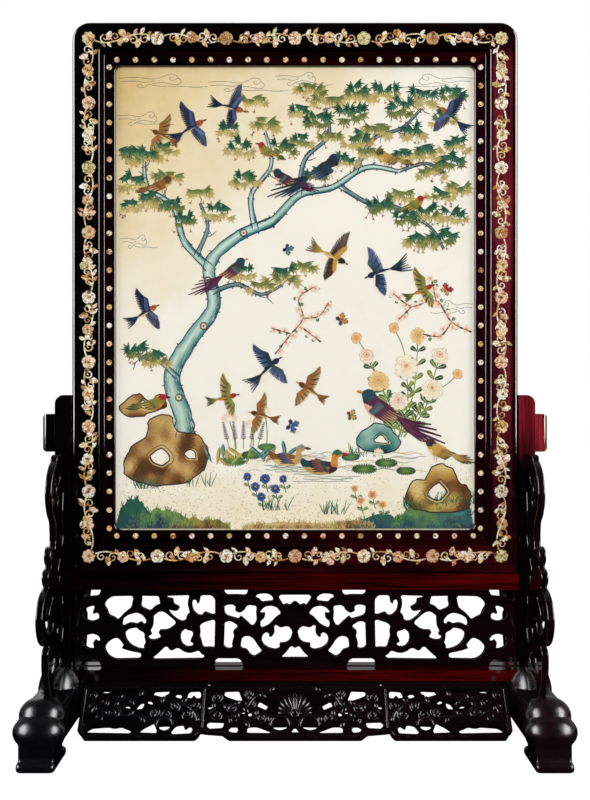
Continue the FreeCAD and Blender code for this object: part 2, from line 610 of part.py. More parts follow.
# Standing spandrels, drawn out from the post and up from the foot's bridge
drawn_reach = 86
drawn_rise = 233
spandrel_runs = [
    ("line", (0, 233), (29, 233)),
    ("arc", (29, 233), (33.24, 231.24), (35, 227)),
    ("arc", (35, 227), (55, 199), (41.5, 170)),
    ("arc", (41.5, 170), (39, 155.5), (40.5, 142)),
    ("arc", (40.5, 142), (58.5, 137.5), (50, 129)),
    ("line", (50, 129), (57, 128)),
    ("arc", (57, 128), (65.5, 122), (62, 112.5)),
    ("line", (62, 112.5), (59, 111)),
    ("arc", (59, 111), (86, 85), (60, 56.5)),
    ("line", (60, 56.5), (66, 52)),
    ("arc", (66, 52), (66.2, 33.5), (58, 11.5)),
    ("line", (58, 11.5), (54, 0)),
    ("line", (54, 0), (0, 0)),
    ("line", (0, 0), (0, 233)),
]
spandrel_openings = [
    [(21, 213), (35, 215), (46, 205), (45, 190), (34, 182), (29, 190), (37, 195), (36, 203), (27, 205)],
    [(10, 201), (19, 189), (27, 171), (25, 151), (17, 139), (11, 151), (14, 171)],
    [(21, 134), (33, 132), (42, 123), (40, 113), (30, 108), (21, 115), (30, 119), (28, 125)],
    [(45, 101), (60, 104), (72, 95), (75, 81), (66, 68), (51, 67), (45, 77), (54, 77), (62, 82), (59, 91)],
    [(12, 97), (24, 100), (34, 87), (36, 69), (28, 54), (17, 47), (10, 61), (15, 79)],
    [(22, 37), (37, 44), (51, 38), (54, 27), (40, 28), (24, 29)],
]
spandrel_tenon_levels = (209, 77)
spandrel_tenon_height = 16
spandrel_base_z = size("bridge_level") + size("bridge_height")
spandrel_top_z = size("post_height") - size("spandrel_drop")


def spandrel_point(out, up):
    reach = out * size("spandrel_reach") / drawn_reach
    rise = up * (spandrel_top_z - spandrel_base_z) / drawn_rise
    return Vector(0, -size("post_depth") / 2 - reach, spandrel_base_z + rise)


def spandrel_shape():
    edges = []
    for kind, *points in spandrel_runs:
        corners = [spandrel_point(*point) for point in points]
        edges.append((Part.Arc if kind == "arc" else Part.LineSegment)(*corners).toShape())
    width = Vector(size("spandrel_thickness"), 0, 0)
    board = plate(Part.Wire(edges), width).translate(-width / 2)
    holes = [plate(smooth_wire([spandrel_point(*point) for point in opening]), 2 * width).translate(-width)
             for opening in spandrel_openings]
    return board.cut(Part.makeCompound(holes))


def spandrel_tenons():
    width = size("spandrel_tenon_width")
    length = size("spandrel_tenon")
    boxes = []
    for level in spandrel_tenon_levels:
        corner = spandrel_point(0, level - spandrel_tenon_height / 2)
        top = spandrel_point(0, level + spandrel_tenon_height / 2)
        boxes.append(Part.makeBox(width, length, top.z - corner.z, corner - Vector(width / 2, 0, 0)))
    return Part.makeCompound(boxes)


# Feet: pad, neck, scroll and cap at each end, a bridge between them and a hump round the post
rail_space = centred_block("rail_space", f"2 * {post_inner}", "-rail_depth / 2", "rail_depth / 2",
                           "lower_rail_level", seat_level)
for side, sign in (("left", "-"), ("right", "")):
    line = f"{sign}({foot_line} + foot_shift)"
    pieces = []
    for end, way in (("front", "-"), ("rear", "")):
        reach = [f"{way}(foot_length / 2 - pad_length)", f"{way}(foot_length / 2)"]
        throat = [f"{way}(foot_length / 2 - neck_inset - neck_length)",
                  f"{way}(foot_length / 2 - neck_inset)"]
        if end == "front":
            reach.reverse()
            throat.reverse()
        pad = block(f"pad_{end}_{side}", f"{line} - pad_width / 2", f"{line} + pad_width / 2",
                    reach[0], reach[1], "0", "pad_height")
        pieces.append(rounded(f"pad_{end}_{side}_eased", pad, size("pad_round"), lambda edge: True))
        pieces.append(block(f"neck_{end}_{side}", f"{line} - neck_width / 2", f"{line} + neck_width / 2",
                            throat[0], throat[1], "pad_height / 2", "scroll_level"))
        for name, width, radius, inset, level in (
                ("scroll", "scroll_width", "scroll_radius", "scroll_radius", "scroll_level"),
                ("cap", "cap_width", "cap_radius", "cap_inset", "cap_level")):
            roll = doc.addObject("Part::Ellipsoid", f"{name}_{end}_{side}")
            bind(roll, Radius1=radius, Radius2=f"{width} / 2", Radius3=radius)
            pieces.append(place(roll, line, f"{way}(foot_length / 2 - {inset})", level))
    pieces.append(block(f"bridge_{side}", f"{line} - bridge_width / 2", f"{line} + bridge_width / 2",
                        "-(foot_length / 2 - cap_inset)", "foot_length / 2 - cap_inset",
                        "bridge_level", "bridge_level + bridge_height"))
    hump = doc.addObject("Part::Ellipsoid", f"hump_{side}")
    bind(hump, Radius1="hump_radius", Radius2="hump_width / 2", Radius3="hump_radius")
    place(hump, line, "0", "hump_level")
    hump_floor = block(f"hump_floor_{side}", f"{line} - scroll_width", f"{line} + scroll_width",
                       "-hump_radius", "hump_radius", "0 - hump_radius", "bridge_level")
    pieces.append(cut(f"hump_{side}_trimmed", hump, hump_floor))
    shaft_line = f"{sign}{foot_line}"
    mortise = block(f"post_tenon_{side}", f"{shaft_line} - post_tenon_width / 2",
                    f"{shaft_line} + post_tenon_width / 2",
                    "-post_tenon_depth / 2", "post_tenon_depth / 2", "bridge_level",
                    "hump_level + hump_radius + groove_depth")
    shoulder = block(f"post_shoulder_{side}", f"{shaft_line} - post_width / 2",
                     f"{shaft_line} + post_width / 2",
                     "-post_depth / 2", "post_depth / 2", "bridge_level + bridge_height", "post_height")
    foot_blank = fuse(f"foot_{side}_blank", *pieces)
    foot = keep(cut(f"foot_{side}_cut", foot_blank, mortise, shoulder, rail_space), f"foot_{side}")

    # Post: a square shaft that stands in the hump, with a rounded head and a groove open at the top
    head_x = (foot_line_x + size("post_width") / 2) * (-1 if side == "left" else 1)
    shaft = rounded(f"post_{side}_shaft", shoulder, size("head_round"),
                    lambda edge: spans(edge, along_y) and lies_at(edge, along_x, head_x)
                    and lies_at(edge, along_z, size("post_height")))
    groove_x = [f"{sign}{post_inner}", f"{sign}({half_frame} + runner_depth + slide_gap)"]
    if side == "left":
        groove_x.reverse()
    groove = block(f"post_groove_{side}", groove_x[0], groove_x[1], "-(runner_width / 2 + slide_gap)",
                   "runner_width / 2 + slide_gap", seat_level, "post_height + runner_shoulder")
    spandrel_sets = {}
    for end, turn in (("front", 0), ("rear", 180)):
        spot = Placement(Vector(-foot_line_x if side == "left" else foot_line_x, 0, 0),
                         Rotation(along_z, turn))
        board = carved(f"spandrel_{end}_{side}_board", spandrel_shape())
        board.Placement = spot
        stubs = carved(f"spandrel_{end}_{side}_tenons", spandrel_tenons())
        stubs.Placement = spot
        spandrel_sets[end] = (board, stubs)
    pegs = [peg for peg in rail_pegs if peg.Name.endswith(side)]
    keep(cut(f"post_{side}_cut", fuse(f"post_{side}_blank", shaft, mortise), groove, board_groove,
             *tenon_blocks.values(), *[stubs for board, stubs in spandrel_sets.values()], *pegs),
         f"post_{side}")
    for end, (board, stubs) in spandrel_sets.items():
        keep(cut(f"spandrel_{end}_{side}_cut", fuse(f"spandrel_{end}_{side}_blank", board, stubs), foot),
             f"spandrel_{end}_{side}")


# Ear blocks on the outer faces of the post heads


def sketched_outline(body, role, corners):
    # A closed outline on one of the body's own planes, each corner bound to the sizes.
    sketch = body.newObject("Sketcher::SketchObject", body.Name + "_outline")
    plane = next(item for item in body.Origin.OriginFeatures if item.Role == role)
    sketch.AttachmentSupport = (plane, [""])
    sketch.MapMode = "FlatFace"
    count = len(corners)
    drawn = [Vector(index % 2 + index // 2, index // 2, 0) for index in range(count)]
    for index in range(count):
        sketch.addGeometry(Part.LineSegment(drawn[index], drawn[(index + 1) % count]))
    for index in range(count):
        sketch.addConstraint(Sketcher.Constraint("Coincident", index, 2, (index + 1) % count, 1))
    for index, (across, up) in enumerate(corners):
        for kind, text in (("DistanceX", across), ("DistanceY", up)):
            number = sketch.addConstraint(Sketcher.Constraint(kind, -1, 1, index, 1, 1.0))
            sketch.setExpression(f"Constraints[{number}]", formula(text))
    return sketch


for side, sign in (("left", "-"), ("right", "")):
    body = doc.addObject("PartDesign::Body", f"ear_{side}")
    near = f"{sign}({post_inner} + post_width)"
    far = f"{sign}({post_inner} + post_width + ear_width)"
    top = "post_height - ear_drop"
    outline = sketched_outline(body, "XZ_Plane", [(near, f"{top} - ear_height"), (far, f"{top} - ear_height"),
                                                  (far, top), (near, top)])
    pad = body.newObject("PartDesign::Pad", f"ear_{side}_pad")
    pad.Profile = outline
    pad.Midplane = True
    bind(pad, Length="ear_depth")
    doc.recompute()
    outer_x = (post_inner_x + size("post_width") + size("ear_width")) * (-1 if side == "left" else 1)
    easing = body.newObject("PartDesign::Fillet", f"ear_{side}_easing")
    easing.Base = (pad, [f"Edge{number}" for number, edge in enumerate(pad.Shape.Edges, start=1)
                         if lies_at(edge, along_x, outer_x)])
    bind(easing, Radius="ear_round")
    keep(body, f"ear_{side}")

# Slanted apron under the front of the lower rail, drawn out from the middle and down the slope
drawn_slope = 58
apron_edge = [
    (210.85, -8), (210.85, 50.5), (207.6, 53.2), (204.6, 57.5), (97.1, 57.5), (93.7, 54.4), (91.9, 50.8),
    (87.9, 51.6), (70.6, 52.9), (67.5, 55.2), (64.1, 57.5),
]
drawn_apron_half = max(out for out, down in apron_edge)
apron_openings = [
    [(208.4, 3.5), (203, 2.2), (202.6, 4.8), (206, 6.4)],
    [(193.2, 10.3), (190.1, 9.4), (182.7, 9.8), (182.2, 12), (187, 12.9), (192.6, 12.2)],
    [(171, 9.9), (156.8, 9.4), (156.9, 11.5), (163.3, 12.3), (170.1, 11.8)],
    [(142.2, 13.9), (139.7, 9.8), (124.3, 9.2), (125.2, 13.5), (128.3, 14.9), (129.4, 17.5), (134.3, 16)],
    [(120.3, 15.3), (117.9, 12.3), (113.5, 12.7), (111.7, 16), (113.1, 18.2), (116.2, 17.5)],
    [(107.9, 17), (105.9, 9.8), (95.3, 9.2), (93.3, 11.8), (93.4, 17.7), (97.5, 18), (100.2, 14.8), (102.5, 18)],
    [(88.8, 2.2), (82.8, 2), (85.6, 6)],
    [(168.6, 24.8), (165.3, 24), (161.2, 26.5), (162.3, 28.2), (165.9, 27.7)],
    [(157.2, 27.2), (153.7, 22.4), (150.3, 20.9), (148.5, 24.5), (150, 28.4), (154.7, 28.9)],
    [(146.7, 19.7), (143.9, 18.9), (139.7, 21.9), (140.6, 24.1), (144.4, 23.5)],
    [(86.2, 25), (82.1, 24.8), (81.3, 28.2), (84.9, 28.9)],
    [(70.4, 9.6), (56.1, 9.1), (54.5, 13.4), (52.1, 18.5), (53.7, 21.3), (65.9, 17.3), (69.9, 15.3)],
    [(35.3, 19.5), (26.4, 24.5), (28.2, 29.7), (37.9, 25.5)],
    [(52.6, 30.6), (50.2, 29.9), (48.4, 31.6), (49.4, 33.4), (52, 33.2)],
    [(46.1, 31.6), (43.4, 30.6), (41.8, 33.7), (43.3, 35.9), (45.7, 35.3)],
    [(208.4, 42.2), (205, 40.9), (204.4, 43.7), (207.4, 44.7)],
    [(203.2, 49.6), (197.8, 45.9), (181.9, 44.7), (175.8, 46), (169.3, 44.7), (160.2, 48.2), (158.5, 50.6),
     (160.5, 52.1), (200.3, 51.4)],
    [(153.3, 51.1), (147.8, 46.2), (141.8, 43.1), (138.2, 41.1), (134, 49.5), (134.4, 51.9)],
    [(133.3, 44.2), (121.2, 43.6), (122.4, 47.8), (126.7, 49.6), (131.2, 48)],
    [(120.9, 49.6), (116.4, 43.7), (109.1, 42.7), (107.4, 47.5), (102.4, 44), (99.3, 47), (100.6, 52.1),
     (118.6, 52.9)],
    [(86.3, 41.9), (84.1, 39.9), (68.7, 40.4), (70.2, 47), (82.8, 47.7), (85.6, 45.4)],
    [(65.5, 47.8), (62.3, 44.7), (56.2, 44.7), (55.2, 49.5), (56.7, 51.6), (62.7, 50.9)],
    [(46.8, 51.6), (46.4, 44.7), (37.2, 44.4), (23.5, 49.5), (24.2, 51.8)],
    [(22.9, 44.7), (6, 44.4), (8.5, 47.5), (14.7, 49.3), (20, 48)],
]
apron_middle_opening = [(-5, 51.1), (0, 44.5), (5, 51.1)]


def apron_point(out, down):
    half = post_inner_x + size("post_width") / 2 + size("foot_shift") - size("hump_width") / 2
    half -= size("apron_gap")
    return Vector(out * half / drawn_apron_half, 0, -down * size("apron_slope") / drawn_slope)


def apron_shape():
    right = [apron_point(out, down) for out, down in apron_edge]
    left = [apron_point(-out, down) for out, down in reversed(apron_edge)]
    depth = Vector(0, size("apron_thickness"), 0)
    board = plate(smooth_wire(right + left, 0.3), depth)
    holes = []
    mirrored = [[(-out, down) for out, down in opening] for opening in apron_openings]
    for opening in apron_openings + mirrored + [apron_middle_opening]:
        outline = smooth_wire([apron_point(*corner) for corner in opening], 0.3)
        holes.append(plate(outline, 3 * depth).translate(-depth))
    return board.cut(Part.makeCompound(holes))


rail_trim = centred_block("rail_trim", "2 * foot_length + frame_width", "-foot_length", "foot_length",
                          "lower_rail_level", "lower_rail_level + post_height")
apron_board = carved("apron_board", apron_shape())
apron_board.Placement = Placement(Vector(0, -size("apron_setout"), size("lower_rail_level")),
                                  Rotation(along_x, -size("apron_lean")))
keep(cut("apron_cut", apron_board, rail_trim), "apron")

doc.recompute()

for item in doc.Objects:
    if "Invalid" in item.State or "Error" in item.State:
        raise RuntimeError(f"{item.Name} failed: {item.State}")
for item in parts:
    if item.Shape.isNull() or not item.Shape.isValid() or not item.Shape.Solids:
        raise RuntimeError(f"{item.Label} has no valid solid")

os.makedirs("parts", exist_ok=True)
for item in parts:
    item.Shape.exportStep(f"parts/{item.Label}.step")
    print(f"{item.Label}: {len(item.Shape.Solids)} solids, {item.Shape.Volume / 1000:.2f} cm3")
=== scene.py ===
import json
import math
import random
import bmesh
import bpy
from mathutils import Matrix, Vector, noise


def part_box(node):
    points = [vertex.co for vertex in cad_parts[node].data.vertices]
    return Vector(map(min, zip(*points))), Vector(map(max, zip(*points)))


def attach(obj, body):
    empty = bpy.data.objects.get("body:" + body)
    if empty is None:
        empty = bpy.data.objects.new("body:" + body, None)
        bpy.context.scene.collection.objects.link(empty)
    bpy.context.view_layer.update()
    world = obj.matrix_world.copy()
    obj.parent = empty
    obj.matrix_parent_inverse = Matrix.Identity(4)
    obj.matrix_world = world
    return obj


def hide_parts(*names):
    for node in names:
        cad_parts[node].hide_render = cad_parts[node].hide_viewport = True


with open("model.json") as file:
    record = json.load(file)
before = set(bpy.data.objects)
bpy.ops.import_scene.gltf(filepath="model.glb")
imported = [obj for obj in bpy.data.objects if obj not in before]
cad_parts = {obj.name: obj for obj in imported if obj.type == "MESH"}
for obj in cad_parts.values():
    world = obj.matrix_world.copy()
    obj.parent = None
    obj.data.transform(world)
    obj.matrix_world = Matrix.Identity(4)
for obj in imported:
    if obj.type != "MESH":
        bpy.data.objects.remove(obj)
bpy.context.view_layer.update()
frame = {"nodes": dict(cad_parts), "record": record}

mm = 0.001
scene = bpy.context.scene
scene.view_settings.view_transform = "Standard"
nodes = frame["nodes"]
bodyOf = {node: body for body, members in frame["record"]["behaviour"]["bodies"].items() for node in members}
print("frame loaded:", len(nodes), "CAD nodes")


def linear(hexColour):  # sRGB hex to linear RGBA
    channels = [int(hexColour[i:i + 2], 16) / 255 for i in (1, 3, 5)]
    return [c / 12.92 if c <= 0.04045 else ((c + 0.055) / 1.055) ** 2.4 for c in channels] + [1.0]


def plug(node, settings):  # a node's properties, constants and links
    for name, value in settings.items():
        if isinstance(value, bpy.types.NodeSocket):
            node.id_data.links.new(value, node.inputs[name])
        elif isinstance(name, str) and name in node.bl_rna.properties:
            setattr(node, name, value)
        else:
            node.inputs[name].default_value = value


def addNode(tree, kind, settings=()):
    node = tree.nodes.new(kind)
    plug(node, dict(settings))
    return node


def calc(tree, operation, *values):  # arithmetic on sockets and numbers
    return addNode(tree, "ShaderNodeMath", {"operation": operation, **dict(enumerate(values))}).outputs[0]


def spanned(tree, value, start, end, low=0.0, high=1.0):  # a value's span laid onto another
    return addNode(tree, "ShaderNodeMapRange", {
        "Value": value, "From Min": start, "From Max": end, "To Min": low, "To Max": high}).outputs[0]


def mixed(tree, share, first, second, way="MIX"):  # two colours in one
    return addNode(tree, "ShaderNodeMix", {
        "data_type": "RGBA", "blend_type": way, "Factor": share, "A": first, "B": second}).outputs["Result"]


def speckle(tree, place, size, settings):  # noise with spots of a size in mm
    return addNode(tree, "ShaderNodeTexNoise", {0: place, "Scale": 1 / (size * mm), **settings}).outputs


def bands(tree, place, size, settings):  # waves, about three to each size in mm
    return addNode(tree, "ShaderNodeTexWave", {0: place, "Scale": 1 / (size * mm), **settings}).outputs


def toned(tree, value, *stops):  # a value as colour, by stops of (place, hex)
    node = addNode(tree, "ShaderNodeValToRGB", {0: value})
    ramp = node.color_ramp
    while len(ramp.elements) < len(stops):
        ramp.elements.new(0.5)
    for element, (place, hexColour) in zip(ramp.elements, stops):
        element.position = place
        element.color = linear(hexColour)
    return node.outputs["Color"]


def raised(tree, height, strength, distance):  # fine relief, its depth in mm
    return addNode(tree, "ShaderNodeBump", {
        "Height": height, "Strength": strength, "Distance": distance * mm}).outputs[0]


def attribute(tree, name):
    return addNode(tree, "ShaderNodeAttribute", {"attribute_name": name}).outputs


def newMaterial(name):
    material = bpy.data.materials.new(name)
    material.use_nodes = True
    return material, material.node_tree, material.node_tree.nodes["Principled BSDF"]


def placeIn(tree):
    return addNode(tree, "ShaderNodeTexCoord").outputs["Object"]


# camera at the photograph's place: square on, under a metre off, level with the picture's lower third
camera = {"place": (0, -0.914, 0.338), "lens": 40.5, "sensor": 36}
cameraData = bpy.data.cameras.new("camera")
cameraData.lens = camera["lens"]
cameraData.sensor_width = camera["sensor"]
cameraObject = bpy.data.objects.new("camera", cameraData)
cameraObject.location = camera["place"]
cameraObject.rotation_euler = (math.radians(90), 0, 0)
scene.collection.objects.link(cameraObject)
scene.camera = cameraObject

# studio: a far lamp behind the camera, one to each side and one behind, out of the flat wood's mirror line
lamps = {
    "front": {"place": (0, -4.0, 0.6), "aim": (0, 0, 0.4), "size": 0.6, "watts": 73},
    "right": {"place": (1.2, -0.9, 0.85), "aim": (0, 0, 0.35), "size": 0.55, "watts": 5},
    "left": {"place": (-1.3, -1.05, 0.8), "aim": (0, 0, 0.35), "size": 0.5, "watts": 4},
    "rear": {"place": (-0.7, 1.3, 1.1), "aim": (0, 0, 0.3), "size": 1.2, "watts": 8},
}
for name, lamp in lamps.items():
    data = bpy.data.lights.new(name, "AREA")
    data.size = lamp["size"]
    data.energy = lamp["watts"]
    lampObject = bpy.data.objects.new(name, data)
    lampObject.location = lamp["place"]
    lampObject.visible_glossy = name != "front"  # a scrim in front of it, so no hot spot in the wax
    aim = Vector(lamp["aim"]) - Vector(lamp["place"])
    lampObject.rotation_euler = aim.to_track_quat("-Z", "Y").to_euler()
    scene.collection.objects.link(lampObject)

# room: white to the camera; the wax mirrors a dark front, a pale rear and a bright window to each side
room = {"front": 0.01, "rear": 0.5, "window": 36.0, "windowAt": 0.8, "windowHalf": 0.12, "fill": 0.3}
world = bpy.data.worlds.new("studio")
world.use_nodes = True
scene.world = world
tree = world.node_tree
towards = addNode(tree, "ShaderNodeTexCoord").outputs["Generated"]
axes = addNode(tree, "ShaderNodeSeparateXYZ", {0: towards}).outputs
walls = spanned(tree, axes["Y"], -0.5, 0.5, room["front"], room["rear"])
ahead = spanned(tree, axes["Y"], -0.1, -0.25, 0.0, room["window"])
offside = calc(tree, "COMPARE", calc(tree, "ABSOLUTE", axes["X"]), room["windowAt"], room["windowHalf"])
around = calc(tree, "ADD", walls, calc(tree, "MULTIPLY", ahead, offside))
path = addNode(tree, "ShaderNodeLightPath").outputs
mirrored = calc(tree, "MAXIMUM", path["Is Glossy Ray"], path["Is Transmission Ray"])
soft = addNode(tree, "ShaderNodeMix", {"Factor": mirrored, "A": room["fill"], "B": around}).outputs[0]
seen = addNode(tree, "ShaderNodeMix", {"Factor": path["Is Camera Ray"], "A": soft, "B": 1.0}).outputs[0]
plug(tree.nodes["Background"], {"Color": linear("#ffffff"), "Strength": seen})

floor = {"reach": 6.0, "level": -0.0005, "glow": 1.2, "cover": 0.8}
reach = floor["reach"]
floorMesh = bpy.data.meshes.new("floor")
floorMesh.from_pydata([(-reach, -reach, 0), (reach, -reach, 0), (reach, reach, 0), (-reach, reach, 0)], [],
                      [(0, 1, 2, 3)])
floorObject = bpy.data.objects.new("floor", floorMesh)
floorObject.location.z = floor["level"]
scene.collection.objects.link(floorObject)
paper, tree, shader = newMaterial("white seamless paper")  # keeps a faint shadow, else the background's white
fibre = addNode(tree, "ShaderNodeTexNoise", {"Scale": 40.0}).outputs[0]
plug(shader, {"Base Color": linear("#f4f4f4"), "Roughness": 0.9,
              "Normal": addNode(tree, "ShaderNodeBump", {"Strength": 0.02, "Height": fibre}).outputs[0]})
path = addNode(tree, "ShaderNodeLightPath").outputs
lit = calc(tree, "MULTIPLY", path["Is Camera Ray"], floor["glow"])
glow = addNode(tree, "ShaderNodeEmission", {"Color": linear("#ffffff"), "Strength": lit}).outputs[0]
dim = calc(tree, "MAXIMUM", path["Is Glossy Ray"], floor["cover"])  # not mirrored in the wax
surface = addNode(tree, "ShaderNodeMixShader", {0: dim, 1: shader.outputs[0], 2: glow}).outputs[0]
plug(tree.nodes["Material Output"], {"Surface": surface})
floorMesh.materials.append(paper)
print("stage set")


# hongmu, a dense red hardwood, scraped and waxed: near black, fine pores, a soft gloss, with a red painted on as light
# along one side
# the argument after the four colours is the axis the painted red light rises along, from and to; strip is where a stile
# is painted lit between its unlit edges, in mm
def hongmu(name, along, dark, mid, red, paintedLitRed, paintedLightAxis=("X", -0.15, 0.2), strip=None, pore=0.08, gloss=(0.05, 0.13),
           shine=0.4):
    material, tree, shader = newMaterial(name)
    place = placeIn(tree)

    def streaks(across, lengthwise, settings):  # noise drawn out along the grain
        scale = [1 / ((lengthwise if axis == along else across) * mm) for axis in "XYZ"]
        drawn = addNode(tree, "ShaderNodeMapping", {0: place, "Scale": scale}).outputs[0]
        return addNode(tree, "ShaderNodeTexNoise", {0: drawn, "Scale": 1.0, **settings}).outputs[0]

    pores = streaks(1.6, 70, {"Detail": 4.0, "Roughness": 0.6})  # drawn 1.6 mm wide so that they show
    figure = streaks(16, 160, {"Detail": 3.0, "Distortion": 0.8})
    grain = calc(tree, "MULTIPLY_ADD", figure, 0.55, calc(tree, "MULTIPLY", pores, 0.45))
    colour = toned(tree, grain, (0.36, dark), (0.52, mid), (0.72, red))
    sides = addNode(tree, "ShaderNodeSeparateXYZ", {0: place}).outputs
    # painted light: a share of red that rises along the given axis, broken into patches by the grain
    paintedLightShare = spanned(tree, sides[paintedLightAxis[0]], paintedLightAxis[1], paintedLightAxis[2])
    paintedLightPatches = calc(tree, "MULTIPLY", paintedLightShare, spanned(tree, grain, 0.38, 0.62, 0.1))
    if strip:  # the painted light is kept off both edges and the upper mitre, which stay dark
        away = calc(tree, "ABSOLUTE", calc(tree, "SUBTRACT", sides["X"], strip["middle"] * mm))
        for value, start, end in ((away, strip["half"] - 1.5, strip["half"] + 1.5),
                                  (sides["Z"], strip["top"] - 20, strip["top"])):
            paintedLightKept = spanned(tree, value, start * mm, end * mm, 1.0, 0.08)
            paintedLightPatches = calc(tree, "MULTIPLY", paintedLightPatches, paintedLightKept)
    # the wood's own colour with the painted red light laid over it
    woodUnderPaintedLight = mixed(tree, paintedLightPatches, colour, linear(paintedLitRed))
    plug(shader, {"Base Color": mixed(tree, attribute(tree, "wear")["Fac"], woodUnderPaintedLight, linear(red)),
                  "Roughness": spanned(tree, pores, 0.0, 1.0, *gloss), "Normal": raised(tree, pores, pore, 0.25),
                  "IOR": 1.45, "Specular IOR Level": shine})
    return material


# painted light: the fourth colour of each is a red laid on towards the right of the screen, or upwards on the post,
# stile and ear
blackWood = {axis: hongmu(f"waxed black hongmu, grain along {axis}", axis, "#020202", "#040303", "#0c0405", "#120406")
             for axis in "XZ"}
railWood = hongmu("waxed hongmu of the stand's rails", "X", "#020101", "#060203", "#140304", "#640509")
footRailWood = hongmu("waxed hongmu of the frame's bottom rail", "X", "#050203", "#0a0304", "#1a0306", "#46080e")
# painted light on the right post above the spandrel, and the spandrel's painted shadow on it below
postWood = hongmu("hongmu of the right post, faded above the spandrel", "Z", "#020202", "#060304", "#120406", "#9c2230",
                  ("Z", 0.272, 0.32))
# painted red light down the right stile's middle, kept off its edges and upper mitre, darker towards the bottom
stileWood = hongmu("hongmu of the stile, painted lit red down its middle", "Z", "#060203", "#0e0305", "#2a060c", "#80222f", ("Z", 0.15, 0.42),
                   {"middle": 207.5, "half": 9.5, "top": 692})
# painted red light over the right ear
earWood = hongmu("hongmu of the ear, painted lit red", "Z", "#0a0304", "#2c060c", "#5a0c16", "#a82834", ("Z", 0.1, 0.3))
slipWood = {"X": hongmu("waxed hongmu of the slips across", "X", "#020101", "#070102", "#120204", "#34040a"),
            "Z": hongmu("waxed hongmu of the upright slips", "Z", "#060102", "#100204", "#20030a", "#220309")}
darkWood = {axis: hongmu(f"carved dark hongmu, grain along {axis}", axis, "#040405", "#070506", "#120809", "#18080a")
            for axis in "XZ"}
footWood = hongmu("polished dark hongmu of the feet", "Y", "#040507", "#07080b", "#0e0d10", "#1a0a0c",
                  pore=0.02, gloss=(0.2, 0.3), shine=0.25)

# saw-cut walls of the fretwork, oiled but not polished: dull and nearly black
sawnWood, tree, shader = newMaterial("sawn and oiled hongmu")
kerf = speckle(tree, placeIn(tree), 0.8, {"Detail": 2.0})[0]
plug(shader, {"Base Color": toned(tree, kerf, (0.35, "#030202"), (0.65, "#0b0607")), "Roughness": 0.9,
              "Specular IOR Level": 0.05})


def addPiece(name, mesh, body, hides=()):  # puts a finished mesh on its body
    piece = bpy.data.objects.new(name, mesh)
    scene.collection.objects.link(piece)
    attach(piece, body)
    if hides:
        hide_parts(*hides)
    return piece


def evaluated(name, mesh, prepare):  # a plain mesh of what the modifiers make of a mesh
    holder = bpy.data.objects.new(name + "_rough", mesh)
    scene.collection.objects.link(holder)
    prepare(holder)
    plain = bpy.data.meshes.new_from_object(holder.evaluated_get(bpy.context.evaluated_depsgraph_get()))
    bpy.data.objects.remove(holder)
    plain.name = name
    return plain


def mergedCopy(node):  # the node's triangles, joined into one skin
    weld = 0.002 * mm
    work = bmesh.new()
    work.from_mesh(nodes[node].data)
    bmesh.ops.remove_doubles(work, verts=work.verts, dist=weld)
    return work


def meshOf(name, work):
    mesh = bpy.data.meshes.new(name)
    work.to_mesh(mesh)
    work.free()
    return mesh


# joinery: a copy of each wooden node with its arrises rubbed round; widths in mm, the lip's by the node's first word
arrises = {"width": 0.7, "fine": 0.45, "steps": 2, "angle": 40, "wear": 0.3, "flat": 0.4, "crease": 50}
lips = {"frame": 1.5, "slip": 2.0, "steps": 4, "longest": 0.3}


def sharpEdges(work):
    return [edge for edge in work.edges
            if len(edge.link_faces) == 2 and edge.calc_face_angle(0) > math.radians(arrises["angle"])]


def roundOff(work, edges, width, steps):
    return bmesh.ops.bevel(work, geom=edges, offset=width * mm, segments=steps, profile=0.5, affect="EDGES",
                           clamp_overlap=True)["faces"]


def weighNormals(holder):  # flat faces keep their own normals
    weigh = holder.modifiers.new("weigh", "WEIGHTED_NORMAL")
    weigh.weight = 100
    weigh.keep_sharp = True


def workedPiece(node, wood, width, walls=None, lip=None):
    work = mergedCopy(node)
    wear = work.faces.layers.float.new("wear")
    bmesh.ops.dissolve_limit(work, angle_limit=math.radians(arrises["flat"]), verts=work.verts, edges=work.edges)
    if lip:  # the long edges of the face, rubbed rounder than the rest
        front = min(vert.co.y for vert in work.verts) + 0.05 * mm
        long = [edge for edge in sharpEdges(work)
                if max(vert.co.y for vert in edge.verts) < front and edge.calc_length() > lips["longest"]]
        roundOff(work, long, lip, lips["steps"])
    for face in roundOff(work, sharpEdges(work), width, arrises["steps"]):
        face[wear] = arrises["wear"]
    bmesh.ops.triangulate(work, faces=[face for face in work.faces if len(face.verts) > 4])
    mesh = meshOf(node + "_skin", work)
    mesh.materials.append(wood)
    if walls:  # on the faces that look neither to the front nor to the back
        mesh.materials.append(walls)
        for face in mesh.polygons:
            face.material_index = 1 if abs(face.normal.y) < 0.3 else 0
    mesh.shade_smooth()
    mesh.set_sharp_from_angle(angle=math.radians(arrises["crease"]))
    name = node + "_worked"
    addPiece(name, evaluated(name, mesh, weighNormals), bodyOf[node], [node])


woodOf = {
    "frame_top_rail": blackWood["X"], "frame_bottom_rail": footRailWood,
    "frame_stile_left": blackWood["Z"], "frame_stile_right": stileWood,
    "slip_top": slipWood["X"], "slip_bottom": slipWood["X"],
    "slip_left": slipWood["Z"], "slip_right": slipWood["Z"],
    "back_bead_top": blackWood["X"], "back_bead_bottom": blackWood["X"],
    "back_bead_left": blackWood["Z"], "back_bead_right": blackWood["Z"],
    "post_left": blackWood["Z"], "post_right": postWood, "ear_left": blackWood["Z"], "ear_right": earWood,
    "upper_rail": railWood, "lower_rail": railWood,
}
for node, wood in woodOf.items():
    workedPiece(node, wood, arrises["width"], lip=lips.get(node.split("_")[0]))
workedPiece("pierced_board", darkWood["X"], arrises["width"], sawnWood)
workedPiece("apron", darkWood["X"], arrises["fine"])
print("joinery rubbed down")

